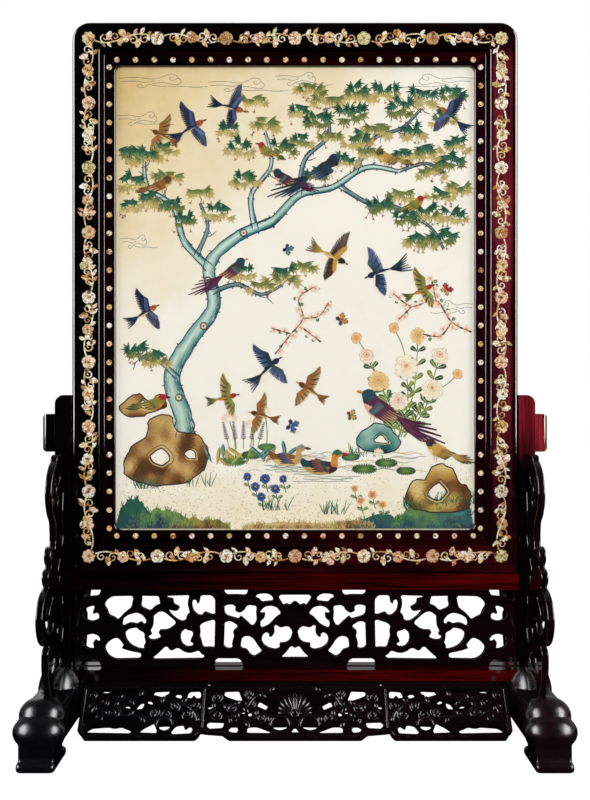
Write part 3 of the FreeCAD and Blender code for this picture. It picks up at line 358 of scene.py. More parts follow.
# shoe feet and spandrels: scrolls and humps carved into each other and polished round
carved = {
    "feet": {"nodes": ["foot_left", "foot_right"], "voxel": 1.3, "passes": 5, "wood": footWood},
    "spandrels": {"nodes": [f"spandrel_{end}_{side}" for end in ("front", "rear") for side in ("left", "right")],
                  "voxel": 0.75, "passes": 8, "wood": darkWood["Z"]},
}


def polishedPiece(node, voxel, passes, wood):
    def smoothOver(holder):
        remesh = holder.modifiers.new("remesh", "REMESH")
        remesh.mode = "VOXEL"
        remesh.voxel_size = voxel * mm
        smooth = holder.modifiers.new("smooth", "SMOOTH")
        smooth.factor = 0.5
        smooth.iterations = passes

    name = node + "_polished"
    polished = evaluated(name, meshOf(node + "_rough", mergedCopy(node)), smoothOver)
    polished.materials.append(wood)
    polished.shade_smooth()
    print(node, len(polished.polygons) * 2, "triangles")
    addPiece(name, polished, bodyOf[node], [node])


for kind in carved.values():
    for node in kind["nodes"]:
        polishedPiece(node, kind["voxel"], kind["passes"], kind["wood"])
print("feet and spandrels carved")


def newTree(name, sockets):  # a geometry tree with a mesh in and out and its named inputs
    tree = bpy.data.node_groups.new(name, "GeometryNodeTree")
    tree.interface.new_socket("Geometry", in_out="INPUT", socket_type="NodeSocketGeometry")
    for socket, kind in sockets.items():
        tree.interface.new_socket(socket, in_out="INPUT", socket_type="NodeSocket" + kind)
    tree.interface.new_socket("Geometry", in_out="OUTPUT", socket_type="NodeSocketGeometry")
    return tree, addNode(tree, "NodeGroupInput").outputs


def named(tree, name, kind):  # a value that each point carries
    return addNode(tree, "GeometryNodeInputNamedAttribute", {"data_type": kind, "Name": name}).outputs["Attribute"]


def closeTree(tree, geometry, material):  # realised and painted, so that the export keeps it
    real = addNode(tree, "GeometryNodeRealizeInstances", {0: geometry}).outputs[0]
    painted = addNode(tree, "GeometryNodeSetMaterial", {0: real, "Material": material}).outputs[0]
    addNode(tree, "NodeGroupOutput", {0: painted})


# strokes: drawn lines become threads, tendrils or carved ridges that lie on their plane
strokeTree, entry = newTree("strokes", {"Sides": "Int", "Flatness": "Float", "Material": "Material"})
curves = addNode(strokeTree, "GeometryNodeMeshToCurve", {0: entry["Geometry"]}).outputs[0]
upright = addNode(strokeTree, "GeometryNodeSetCurveNormal", {"mode": "Z_UP", 0: curves}).outputs[0]
ring = addNode(strokeTree, "GeometryNodeCurvePrimitiveCircle", {"Radius": 1.0, "Resolution": entry["Sides"]})
squash = addNode(strokeTree, "ShaderNodeCombineXYZ", {"X": 1.0, "Y": entry["Flatness"], "Z": 1.0}).outputs[0]
flatRing = addNode(strokeTree, "GeometryNodeTransform", {0: ring.outputs["Curve"], "Scale": squash}).outputs[0]
thread = addNode(strokeTree, "GeometryNodeCurveToMesh", {
    0: upright, 1: flatRing, "Scale": named(strokeTree, "halfWidth", "FLOAT"), "Fill Caps": True}).outputs[0]
rounded = addNode(strokeTree, "GeometryNodeSetShadeSmooth", {0: thread}).outputs[0]
closeTree(strokeTree, rounded, entry["Material"])

# inlay: one small plate set on many points, each with its own turn, size and tint
inlayTree, entry = newTree("inlay", {"Template": "Object", "Material": "Material"})
template = addNode(inlayTree, "GeometryNodeObjectInfo", {"Object": entry["Template"]}).outputs["Geometry"]
spin = addNode(inlayTree, "ShaderNodeCombineXYZ", {"Z": named(inlayTree, "turn", "FLOAT")}).outputs[0]
laid = addNode(inlayTree, "GeometryNodeInstanceOnPoints", {
    "Points": entry["Geometry"], "Instance": template, "Rotation": spin,
    "Scale": named(inlayTree, "spread", "FLOAT_VECTOR")}).outputs[0]
closeTree(inlayTree, laid, entry["Material"])


def grown(name, mesh, tree, values):  # the plain mesh that a tree makes of drawn points
    def plant(holder):
        modifier = holder.modifiers.new("grow", "NODES")
        modifier.node_group = tree
        for item in tree.interface.items_tree:
            if item.in_out == "INPUT" and item.name in values:
                modifier[item.identifier] = values[item.name]

    return evaluated(name, mesh, plant)


def addValues(mesh, name, kind, field, values):
    mesh.attributes.new(name, kind, "POINT").data.foreach_set(field, values)


def strokeMesh(name, strokes, material, sides, flatness):  # strokes are (points in mm, half widths in mm, tints)
    points, edges, halfWidths, tints = [], [], [], []
    for line, widths, tint in strokes:
        edges += [(len(points) + i, len(points) + i + 1) for i in range(len(line) - 1)]
        points += [(p[0] * mm, p[1] * mm, (p[2] if len(p) == 3 else 0) * mm) for p in line]
        halfWidths += [w * mm for w in widths]
        tints += [value for each in tint for value in each] if isinstance(tint[0], list) else list(tint) * len(line)
    mesh = bpy.data.meshes.new(name + "_lines")
    mesh.from_pydata(points, edges, [])
    addValues(mesh, "halfWidth", "FLOAT", "value", halfWidths)
    addValues(mesh, "tint", "FLOAT_COLOR", "color", tints)
    plain = grown(name, mesh, strokeTree, {"Sides": sides, "Flatness": flatness, "Material": material})
    plain.attributes.remove(plain.attributes["halfWidth"])
    return plain


def inlayMesh(name, plates, outline, height, depth, material):  # plates are (x, y, turn, length, width, tint)
    count = len(outline)
    middle = [sum(point[axis] for point in outline) / count for axis in (0, 1)]
    levels = [(1.0, -depth), (1.0, 0.4 * height), (0.8, 0.9 * height)]
    verts = [((middle[0] + (x - middle[0]) * share) * mm, (middle[1] + (y - middle[1]) * share) * mm, z * mm)
             for share, z in levels for x, y in outline] + [(middle[0] * mm, middle[1] * mm, height * mm)]
    faces = [tuple(range(count))[::-1]]
    for level in (0, count):
        faces += [(level + i, level + (i + 1) % count, level + count + (i + 1) % count, level + count + i)
                  for i in range(count)]
    faces += [(2 * count + i, 2 * count + (i + 1) % count, 3 * count) for i in range(count)]
    plate = bpy.data.meshes.new(name + "_plate")
    plate.from_pydata(verts, [], faces)
    plate.shade_smooth()
    plate.set_sharp_from_angle(angle=math.radians(60))
    pattern = bpy.data.objects.new(name + "_plate", plate)
    scene.collection.objects.link(pattern)
    mesh = bpy.data.meshes.new(name + "_points")
    mesh.from_pydata([(each[0] * mm, each[1] * mm, 0) for each in plates], [], [])
    addValues(mesh, "turn", "FLOAT", "value", [each[2] for each in plates])
    addValues(mesh, "spread", "FLOAT_VECTOR", "vector", [v for each in plates for v in (each[3], each[4], 1.0)])
    addValues(mesh, "tint", "FLOAT_COLOR", "color", [v for each in plates for v in each[5]])
    plain = grown(name, mesh, inlayTree, {"Template": pattern, "Material": material})
    bpy.data.objects.remove(pattern)
    for spare in ("turn", "spread"):
        if spare in plain.attributes:
            plain.attributes.remove(plain.attributes[spare])
    return plain


def standing(mesh, front):  # turns a drawing on the flat to face the front at a depth in mm
    mesh.transform(Matrix.Translation((0, front * mm, 0)) @ Matrix.Rotation(math.radians(90), 4, "X"))
    return mesh


def islandCentres(node):  # the middles of a node's separate solids, as (x, z) in mm
    work = mergedCopy(node)
    left = set(work.verts)
    centres = []
    while left:
        heap = [left.pop()]
        island = []
        while heap:
            vert = heap.pop()
            island.append(vert.co.copy())
            for edge in vert.link_edges:
                other = edge.other_vert(vert)
                if other in left:
                    left.remove(other)
                    heap.append(other)
        spans = [[spot[axis] for spot in island] for axis in (0, 2)]
        centres.append(tuple(round((min(span) + max(span)) / 2 / mm, 2) for span in spans))
    work.free()
    return sorted(centres)


def bent(corners, steps):  # a smooth run between the middle two of four points
    a, b, c, d = [Vector(corner) for corner in corners]
    return [tuple(0.5 * (2 * b + (c - a) * t + (2 * a - 5 * b + 4 * c - d) * t * t + (3 * b - a - 3 * c + d) * t ** 3))
            for t in (step / steps for step in range(steps))]


def flowing(points, steps):  # a smooth line through the points
    ends = [points[0], *points, points[-1]]
    line = [spot for i in range(len(points) - 1) for spot in bent(ends[i:i + 4], steps)]
    return line + [tuple(points[-1])]


def closed(points, steps=5):  # a smooth closed outline
    count = len(points)
    return [spot for i in range(count) for spot in bent([points[(i + k) % count] for k in (-1, 0, 1, 2)], steps)]


def ray(x, y, angle, length):  # the point at a distance and angle from another
    return (x + length * math.cos(angle), y + length * math.sin(angle))


# mother-of-pearl, sawn thin and polished flush: milky, each piece its own tint, with a drift of pink and green
pearl, tree, shader = newMaterial("polished mother-of-pearl")
place = placeIn(tree)
drift = speckle(tree, place, 4.2, {"Detail": 2.0, "Distortion": 1.2})[0]
lustre = toned(tree, drift, (0.34, "#5c3a24"), (0.42, "#d8a86c"), (0.48, "#fff6e6"), (0.54, "#ffffff"),
               (0.6, "#dcd6a6"), (0.66, "#c98a70"))
milky = mixed(tree, 0.92, attribute(tree, "tint")["Color"], lustre, "MULTIPLY")
growth = bands(tree, place, 2.2, {"Distortion": 6.0, "Detail": 2.0})["Color"]  # drawn 0.7 mm apart so that it shows
plug(shader, {"Base Color": mixed(tree, 0.45, milky, growth, "SOFT_LIGHT"), "Roughness": 0.24, "IOR": 1.53,
              "Thin Film Thickness": 380, "Thin Film IOR": 1.4})

frameFront, slipFront, silkFront = -14.0, -11.5, -6.5  # the faces' depths in mm
inlay = {"dot": 2.75, "petal": 6.8, "heart": 1.4, "proud": 0.2, "depth": 0.5, "stem": 0.75, "seed": 21}
pearlTints = [linear(c) for c in ("#fffaf0", "#f4dca6", "#e6c07a", "#f4d4c0", "#e2e2b2", "#c4955c", "#ffffff",
                                  "#fff4e0", "#e0b094", "#ffffff")]
dotTints = [linear(c) for c in ("#ffeec8", "#e8c88c", "#ffffff", "#f0c4b0", "#c8b070", "#fff4e4", "#f6dcae",
                                "#f2eecc", "#ffffff")]
discOutline = [(math.cos(math.tau * i / 12), math.sin(math.tau * i / 12)) for i in range(12)]
petalOutline = [(0.12, 0), (0.3, -0.2), (0.54, -0.4), (0.79, -0.49), (0.96, -0.3), (1.0, 0), (0.96, 0.3), (0.79, 0.49),
                (0.54, 0.4), (0.3, 0.2)]
leafOutline = [(0, 0), (0.2, -0.34), (0.48, -0.5), (0.78, -0.3), (1, 0), (0.78, 0.3), (0.48, 0.5), (0.2, 0.34)]
wingOutline = [(0, 0), (0.35, -0.3), (0.8, -0.28), (1, 0.1), (0.86, 0.62), (0.5, 0.7), (0.18, 0.36)]
chance = random.Random(inlay["seed"])
petals, hearts, leaves, wings, tendrils = [], [], [], [], []


def anyPearl():
    return chance.choice(pearlTints)


def blendTint(first, second, share):  # a colour between two
    return [a + (b - a) * share for a, b in zip(first, second)]


def setBlossom(x, z, radius, count, turn, tint):
    for i in range(count):
        shade = blendTint(tint, anyPearl(), 0.35 * chance.random())
        petals.append((x, z, turn + math.tau * i / count, radius, radius * 5 / count, shade))


# the border's vine, in mm along and across each stretch; places are shares of its length
vine = {"sway": 4.4, "outer": 11.0, "inner": 8.8, "leafy": 0.46, "winds": 1.2, "stops": (0.1, 0.3, 0.52, 0.72, 0.9),
        "leaves": (0.17, 0.25, 0.34, 0.42, 0.58, 0.66, 0.75, 0.84), "curls": (0.22, 0.37, 0.63, 0.8),
        "buds": (0.29, 0.71)}


def curl(start, aim, radius, way):  # a tendril that leaves a point and winds in on itself
    middle = ray(*start, aim, radius)
    steps = 20
    return [ray(*middle, aim + math.pi + way * i / steps * vine["winds"] * 2 * math.pi, radius * (1 - 0.82 * i / steps))
            for i in range(steps + 1)]


def vineBetween(first, last, kind):  # stem, leaves, buds and curls between two blossoms
    along = Vector(last) - Vector(first)
    length = along.length
    along.normalize()
    side = Vector((-along.y, along.x))
    turn = math.atan2(along.y, along.x)
    sway = 1 if kind % 2 else -1

    def at(u, v):
        point = Vector(first) + along * u + side * v
        return (point.x, point.y)

    def stemAt(u):
        return vine["sway"] * sway * math.sin(math.tau * u / length)

    def setLeaf(u, v, lean, long, wide):  # leans no further than the face of the frame
        room = vine["outer"] - v if lean > 0 else vine["inner"] + v
        lean = math.copysign(min(abs(lean), math.asin(max(0.05, min(1, room / long)))), lean)
        leaves.append((*at(u, v), turn + lean, long, wide, anyPearl()))

    for a, b in zip(vine["stops"], vine["stops"][1:]):  # the stem, pieced from several strips of pearl
        places = [length * (a + (b - a) * i / 5) for i in range(6)]
        tendrils.append(([at(u, stemAt(u)) for u in places], [inlay["stem"]] * 6, anyPearl()))
    for share in vine["leaves"]:
        u = length * (share + 0.04 * (chance.random() - 0.5))
        for way in (1, -1):
            if chance.random() < vine["leafy"]:
                setLeaf(u, stemAt(u), way * (0.5 + 0.7 * chance.random()), 5.6 + 2.8 * chance.random(),
                        2.9 + 1.4 * chance.random())
    for share in vine["curls"]:  # into the free side of the stem
        u = length * share
        way = -1 if stemAt(u) > 0 else 1
        line = curl(at(u, stemAt(u)), turn + way * 1.35, 4.2 + 1.0 * chance.random(), way * chance.choice((-1, 1)))
        widths = [inlay["stem"] * (1 - 0.35 * i / len(line)) for i in range(len(line))]
        tendrils.append((line, widths, anyPearl()))
    middle = at(length * 0.5, 0.8)
    if kind % 4 == 0:  # butterfly
        for angle, size in ((0.55, 8.2), (2.05, 8.2)):
            wings.append((*middle, turn + angle - 0.6, size, size * 0.95, anyPearl()))
            wings.append((*middle, turn - angle - 0.35, size * 0.8, size * 0.7, anyPearl()))
        leaves.append((*at(length * 0.5 - 3, 0.8), turn, 6, 2.0, linear("#a8622f")))
    elif kind % 4 == 2:  # bell flower
        for i in range(5):
            petals.append((*at(length * 0.5, -6), turn + 0.62 + 0.46 * i, 12.5 - abs(i - 2), 6.4, anyPearl()))
    else:  # small rosette
        setBlossom(*middle, 5.8, 5 + kind % 3, chance.random(), anyPearl())
        hearts.append((*middle, 0, 1.2, 1.2, linear("#8a5f2a")))
    for share in vine["buds"]:  # three petals each
        u = length * share
        for lean in (-0.62, 0, 0.62):
            petals.append((*at(u - 3, -0.9 * stemAt(u)), turn + lean + 0.3 * sway, 6.6, 3.9, anyPearl()))


dots = [(x, z, chance.random() * 6.28, inlay["dot"], inlay["dot"], chance.choice(dotTints))
        for x, z in islandCentres("pearl_dots")]
domed = inlayMesh("pearl_dots_domed", dots, discOutline, inlay["proud"], inlay["depth"], pearl)
addPiece("pearl_dots_domed", standing(domed, slipFront), "panel", ["pearl_dots"])

blossoms = islandCentres("pearl_blossoms")
xs, zs = zip(*blossoms)
near = 3.0  # mm off a row's line
rows = [sorted([b for b in blossoms if b[1] > max(zs) - near]),
        sorted([b for b in blossoms if b[0] > max(xs) - near], key=lambda b: -b[1]),
        sorted([b for b in blossoms if b[1] < min(zs) + near], reverse=True),
        sorted([b for b in blossoms if b[0] < min(xs) + near], key=lambda b: b[1])]
corners = [row[0] for row in rows]
for x, z in blossoms:
    if (x, z) in corners:
        setBlossom(x, z, inlay["petal"], 8, chance.random(), anyPearl())
    else:
        setBlossom(x, z, inlay["petal"], 5, math.pi / 2, anyPearl())
    hearts.append((x, z, 0, inlay["heart"], inlay["heart"], linear("#b98a45")))
stretches = [pair for row in rows for pair in zip(row, row[1:])]
for number, (first, last) in enumerate(stretches):
    vineBetween(first, last, number)
pearlLayers = {
    "pearl_petals": (petals, petalOutline, inlay["proud"], ["pearl_blossoms"]),
    "pearl_hearts": (hearts, discOutline, inlay["proud"] * 1.8, []),
    "pearl_leaves": (leaves, leafOutline, inlay["proud"], []),
    "pearl_wings": (wings, wingOutline, inlay["proud"], []),
}
for name, (plates, outline, proud, hides) in pearlLayers.items():
    plain = inlayMesh(name, plates, outline, proud, inlay["depth"], pearl)
    addPiece(name, standing(plain, frameFront), "panel", hides)
plain = strokeMesh("pearl_tendrils", tendrils, pearl, 6, 0.4)
addPiece("pearl_tendrils", standing(plain, frameFront), "panel")
print("pearl laid:", len(dots), "dots,", len(petals), "petals,", len(leaves), "leaves,", len(tendrils), "tendrils")

# apron carving: coils, leafy stems and a flower that stand up from its slanted face, in mm out and down the slope
apronCarving = {
    "ridge": 1.9, "flatness": 0.75, "lean": 38, "setout": 12, "level": 57, "flower": 33,
    "coils": [(188, 22, 5.2, 0, 1), (179, 32, 4.8, 120, -1), (191, 37, 4.8, 200, 1), (173, 18.5, 4, 60, 1),
              (201, 15, 4.8, 300, -1), (200, 27, 4.4, 150, 1), (127, 34.5, 6.4, 90, 1), (106, 34, 6.4, 270, -1),
              (97, 25, 4.8, 0, 1), (138, 31.5, 4.8, 200, -1), (118, 26, 4.8, 120, 1), (76, 34.5, 5, 30, 1),
              (77.5, 17, 5.4, 200, -1), (62, 27, 5.6, 300, 1), (60, 38.5, 4.4, 90, -1), (43, 23, 4.8, 0, 1),
              (46, 13, 4.2, 180, -1), (33, 37, 5, 60, 1)],
    "rings": [(127.2, 44.4, 8.4), (14.5, 44.8, 10)],
    "stems": [[(207, 34), (198, 33), (186, 28), (174, 27), (170, 34), (158, 36), (147, 36), (139, 38)],
              [(182, 17), (171, 20), (160, 18.5), (151, 16)],
              [(136, 26), (128, 22), (119, 21.5), (108, 24), (98, 32), (95, 40)],
              [(85, 33), (76, 26), (66, 24), (56, 26), (48, 26), (41, 17), (32, 12), (22, 12)],
              [(66, 37), (54, 38.5), (44, 40.5), (33, 33), (22, 36)]],
    "rim": [(208.2, 9), (208.2, 48), (205.4, 51.6), (202.9, 54.9), (98.3, 54.9), (95.8, 52.6), (93.8, 48.6),
            (88.2, 49.7), (70, 50.6), (66.2, 53), (63, 54.9), (0, 54.9)],
    "bars": [[(90, 9), (90, 47)], [(208, 7.4), (0, 7.4)]],
}
ridge = apronCarving["ridge"]
reliefs = []


def carve(side, points, widths):
    widths = widths if isinstance(widths, list) else [widths] * len(points)
    reliefs.append(([(side * out, -down) for out, down in points], widths, linear("#100c0d")))


for side in (-1, 1):
    for out, down, radius, start, way in apronCarving["coils"]:
        carve(side, [ray(out, down, math.radians(start) + way * 3.2 * math.pi * i / 22, radius * (1 - 0.85 * i / 22))
                     for i in range(23)], ridge * 0.72)
    for out, down, radius in apronCarving["rings"]:
        carve(side, [ray(out, down, -math.pi * i / 12, radius) for i in range(13)], ridge * 0.8)
    for stem in apronCarving["stems"]:
        line = flowing(stem, 5)
        carve(side, line, ridge)
        for i in range(3, len(line) - 2, 5):  # leaves to both sides of the stem
            a, b = Vector(line[i]), Vector(line[i + 1])
            angle = math.atan2(b.y - a.y, b.x - a.x) + (0.9 if i % 2 else -0.9)
            carve(side, [ray(*a, angle, r) for r in (0, 2, 4.2, 6.2, 7.8)], [0.9, 2.2, 2.6, 1.7, 0.4])
    carve(side, apronCarving["rim"], ridge * 0.8)
    for bar in apronCarving["bars"]:
        carve(side, bar, ridge * 0.7)
for i in range(-5, 6):  # the flower in the middle
    long = 21 - 0.9 * abs(i)
    carve(1, [ray(0, apronCarving["flower"], -math.radians(90 + 17.5 * i), r)
              for r in (4, 0.35 * long, 0.6 * long, 0.85 * long, long)], [0.9, 1.9, 2.7, 2.1, 0.5])
carve(1, [ray(0, apronCarving["flower"], i * 0.5, 3) for i in range(14)], 1.5)
relief = strokeMesh("apron_carving", reliefs, footWood, 8, apronCarving["flatness"])
relief.transform(Matrix.Translation((0, -apronCarving["setout"] * mm, apronCarving["level"] * mm))
                 @ Matrix.Rotation(math.radians(90 - apronCarving["lean"]), 4, "X"))
addPiece("apron_carving", relief, "stand")
print("apron carved:", len(reliefs), "ridges")

# satin silk, woven fine and stretched on its board: cream with a soft sheen, aged tan at the upper left and the foot
silk = {"cell": 4.0, "ripple": 0.1, "thickness": 0.4, "seed": 5}
satin, tree, shader = newMaterial("cream silk satin")
place = placeIn(tree)
axes = addNode(tree, "ShaderNodeSeparateXYZ", {0: place}).outputs
stains = speckle(tree, place, 75, {"Detail": 5.0, "Roughness": 0.62})[0]
upperLeft = spanned(tree, calc(tree, "SUBTRACT", axes["Z"], axes["X"]), 0.5, 0.86, -0.1, 0.55)
foot = spanned(tree, axes["Z"], 0.19, 0.3, 0.2, -0.1)
age = calc(tree, "MULTIPLY_ADD", stains, 0.6, calc(tree, "MAXIMUM", upperLeft, foot))
cream = toned(tree, age, (0.24, "#fdf8ea"), (0.42, "#f8ecd0"), (0.62, "#ecd6a6"), (0.86, "#d6b678"))
warp = bands(tree, place, 3.6, {"bands_direction": "X", "Distortion": 0.6, "Detail": 1.0})[1]
weft = bands(tree, place, 5.5, {"bands_direction": "Z", "Distortion": 0.8, "Detail": 1.0})[1]
weave = calc(tree, "MULTIPLY_ADD", weft, 0.4, warp)  # threads drawn coarse, 1 to 2 mm apart, so that they show
plug(shader, {"Base Color": mixed(tree, 0.1, cream, weave, "SOFT_LIGHT"), "Normal": raised(tree, weave, 0.12, 0.1),
              "Roughness": 0.55, "Sheen Weight": 0.15, "Sheen Roughness": 0.4, "Specular IOR Level": 0.3})

low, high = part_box("silk_panel")
wide, tall = high[0] - low[0], high[2] - low[2]
columns, lines = round(wide / (silk["cell"] * mm)), round(tall / (silk["cell"] * mm))
work = bmesh.new()
grid = []
for j in range(lines + 1):
    grid.append([])
    for i in range(columns + 1):
        swell = silk["ripple"] * (1 + noise.noise(Vector((i * 0.12, j * 0.07, silk["seed"])))) / 2
        grid[j].append(work.verts.new((low[0] + wide * i / columns, low[1] + (0.1 + swell) * mm,
                                       low[2] + tall * j / lines)))
for j in range(lines):
    for i in range(columns):
        work.faces.new((grid[j][i], grid[j][i + 1], grid[j + 1][i + 1], grid[j + 1][i]))
stretched = meshOf("silk_ground", work)
stretched.materials.append(satin)
stretched.shade_smooth()


def thicken(holder):
    solid = holder.modifiers.new("thickness", "SOLIDIFY")
    solid.thickness = silk["thickness"] * mm
    solid.offset = -1


silkPiece = addPiece("silk_ground", evaluated("silk_ground", stretched, thicken), "panel", ["silk_panel"])
print("silk stretched")

# silk floss, split fine and laid in satin stitch: each thread its own tint, glossy along its length
floss, tree, shader = newMaterial("silk floss in satin stitch")
fibres = speckle(tree, placeIn(tree), 0.7, {"Detail": 2.0})["Color"]
plug(shader, {"Base Color": mixed(tree, 0.35, attribute(tree, "tint")["Color"], fibres, "SOFT_LIGHT"),
              "Roughness": 0.5, "Sheen Weight": 0.03, "Specular IOR Level": 0.2})

# embroidery: birds, a spreading tree, garden flowers and rocks beside water, drawn in mm from the sight's middle
sewing = {"middle": 440.5, "clear": (174, 225), "flatness": 0.45, "proud": 0.15, "sunk": 0.1, "cover": 0.66, "lap": 0.6,
          "seed": 77}
hand = random.Random(sewing["seed"])
heights = {"ground": 0.04, "tree": 0.1, "foliage": 0.28, "canopy": 0.28, "flowers": 0.34, "birds": 0.5}
layers = {layer: [] for layer in heights}
dye = {name: linear(c) for name, c in {
    "pine": "#0a3322", "leaf": "#1d5a3c", "moss": "#6f924c", "olive": "#978c3c", "gold": "#d2ac55", "straw": "#e6cf91",
    "teal": "#4f9088", "mist": "#acd0c2", "deep": "#1a444c", "navy": "#141f42", "blue": "#3d5f9e", "plum": "#4a1c38",
    "red": "#b32a2a", "rust": "#b5602c", "orange": "#dc9138", "peach": "#f5d7a0", "blush": "#f0bfa4",
    "brown": "#8f5f2e", "umber": "#553719", "sand": "#cda767", "ink": "#191a1e", "grey": "#9a968a", "white": "#fbf6e8",
    "lilac": "#9a6a98", "smoke": "#6d675a", "slate": "#5f7396", "night": "#16304a", "pale": "#e2efe0"}.items()}
bark = [dye[name] for name in ("deep", "teal", "mist", "pale", "mist", "teal")]
leafTones = [("pine", "leaf", "moss"), ("leaf", "olive", "straw"), ("olive", "straw", "brown")]  # stalk, tip and vein


def within(least, more):  # by chance, from least up to more above it
    return least + more * hand.random()


def stray(span):  # by chance, to either side
    return span * (hand.random() - 0.5)


def dyed(tint):  # a tint by its name or as it is
    return dye[tint] if isinstance(tint, str) else tint


def shadeOf(tints, place):  # a colour part of the way along a row of tints
    return blendTint(tints[int(place)], tints[int(place) + 1], place % 1)


def patch(x, y, seed):  # slow change over the silk, from -1 to 1
    return noise.noise(Vector((x, y, seed)))


def stitch(layer, line, width, tint, lift=0.0, tip=0.5, fade=None):  # one thread, sunk at both ends, which may fade
    light = within(0.9, 0.2)
    base = heights[layer] + lift
    last = len(line) - 1
    tones = [[min(1, c * light) for c in blendTint(dyed(tint), dyed(fade or tint), i / last)] for i in range(last + 1)]
    points = [(x, y + sewing["middle"], base - (sewing["sunk"] if i in (0, last) else 0))
              for i, (x, y) in enumerate(line)]
    layers[layer].append((points, [width * (tip if i in (0, last) else 1) for i in range(last + 1)], tones))


def straight(layer, start, end, *look):
    stitch(layer, [start, ((start[0] + end[0]) / 2, (start[1] + end[1]) / 2), end], *look)


def couched(layer, points, width, tint, lift=0.0, piece=6):  # a laid line, in lengths of a few points
    for i in range(0, len(points) - 1, piece):
        stitch(layer, points[i:i + piece + 1], width, tint, lift, 0.9)


def fill(layer, outlines, angle, pitch, tintAt, lift, longest):  # rows of satin stitch, round any holes
    ca, sa = math.cos(angle), math.sin(angle)
    turned = [[(x * ca + y * sa, y * ca - x * sa) for x, y in outline] for outline in outlines]
    row = min(v for u, v in turned[0]) + pitch / 2
    top = max(v for u, v in turned[0])
    while row < top:
        cuts = []
        for outline in turned:
            for (u1, v1), (u2, v2) in zip(outline, outline[1:] + outline[:1]):
                if (v1 <= row) != (v2 <= row):
                    cuts.append(u1 + (u2 - u1) * (row - v1) / (v2 - v1))
        cuts.sort()
        for start, end in zip(cuts[::2], cuts[1::2]):
            stops = [start]
            reach = start + longest * within(0.3, 0.7)
            while reach < end - 0.3 * longest:
                stops.append(reach)
                reach += longest * within(0.7, 0.5)
            stops.append(end)
            for a, b in zip(stops, stops[1:]):
                b += sewing["lap"] if b < end else 0
                first, last = [(u * ca - row * sa, u * sa + row * ca) for u in (a, b)]
                tint = tintAt((first[0] + last[0]) / 2, (first[1] + last[1]) / 2)
                straight(layer, first, last, pitch * sewing["cover"], tint, lift, 0.8)
        row += pitch


def leaf(x, y, angle, size, tones, lift):  # a leaf of five lobes, its threads fanned from the stalk
    base, tip, vein = tones
    for k in range(-4, 5):
        reach = size * (1 - 0.05 * abs(k)) * (0.72 if k % 2 else 1)
        straight("canopy", (x, y), ray(x, y, angle + 0.36 * k, reach), 0.78, base, lift, 0.55, tip)
    for k in (-2, 0, 2):
        straight("canopy", (x, y), ray(x, y, angle + 0.36 * k, size * (0.84 - 0.06 * abs(k))), 0.2, vein, lift + 0.14)


def fan(x, y, size, rows):  # the leaves of one twig: dark ones on top, paler ones hanging under and around them
    for tone, count, spread, drop, sway in rows:
        for i in range(count):
            share = (i + 0.5) / count * 2 - 1
            lx = x + size * spread * (share + stray(0.4))
            ly = y + size * (drop - 0.5 * share * share + stray(0.7))
            if abs(lx) < sewing["clear"][0] and abs(ly) < sewing["clear"][1]:  # clear of the slips
                leaf(lx, ly, -math.pi / 2 + 0.7 * share + stray(sway), size * within(0.92, 0.34), leafTones[tone],
                     within(0.15 * (2 - tone), 0.06))


def longLeaf(x, y, angle, length, width, tints, lift=0.0):  # threads slant off its rib to both sides
    rows = max(3, int(length / 1.1))
    for i in range(rows):
        share = (i + 0.5) / rows
        half = width * math.sin(math.pi * min(1, share * 1.02)) ** 0.8
        foot = ray(x, y, angle, length * share * 0.9)
        for way, tint in ((-1, tints[1]), (1, tints[0])):
            straight("foliage", foot, ray(*foot, angle + way * 0.75, half * 1.25 + 0.3), 0.5, tint, lift)
    straight("foliage", (x, y), ray(x, y, angle, length), 0.3, tints[2], lift + 0.1)


def bloom(x, y, size, petals, inner, outer, heart, turn, lift=0.0, edge=None):  # threads run from the heart out
    for i in range(petals):
        aim = turn + math.tau * i / petals
        half = 0.98 * math.pi / petals
        rim = []
        full = size * within(0.86, 0.22)
        for k in range(-4, 5):
            angle = aim + half * k / 4.2
            reach = full * (1 - 0.2 * (k / 4) ** 4 - (0.06 if k == 0 else 0))
            rim.append(ray(x, y, angle, reach))
            straight("flowers", ray(x, y, angle, reach * 0.12), rim[-1], 0.062 * size * 8 / petals ** 0.9, inner, lift,
                     0.8, outer)
        if edge:
            stitch("flowers", rim, 0.22, edge, lift + 0.1, 0.8)
    for i in range(7):
        knot = ray(x, y, hand.random() * 6.3, size * 0.2 * hand.random() ** 0.5)
        straight("flowers", knot, (knot[0] + 0.5, knot[1] + 0.3), 0.5, heart, lift + 0.16, 0.9)


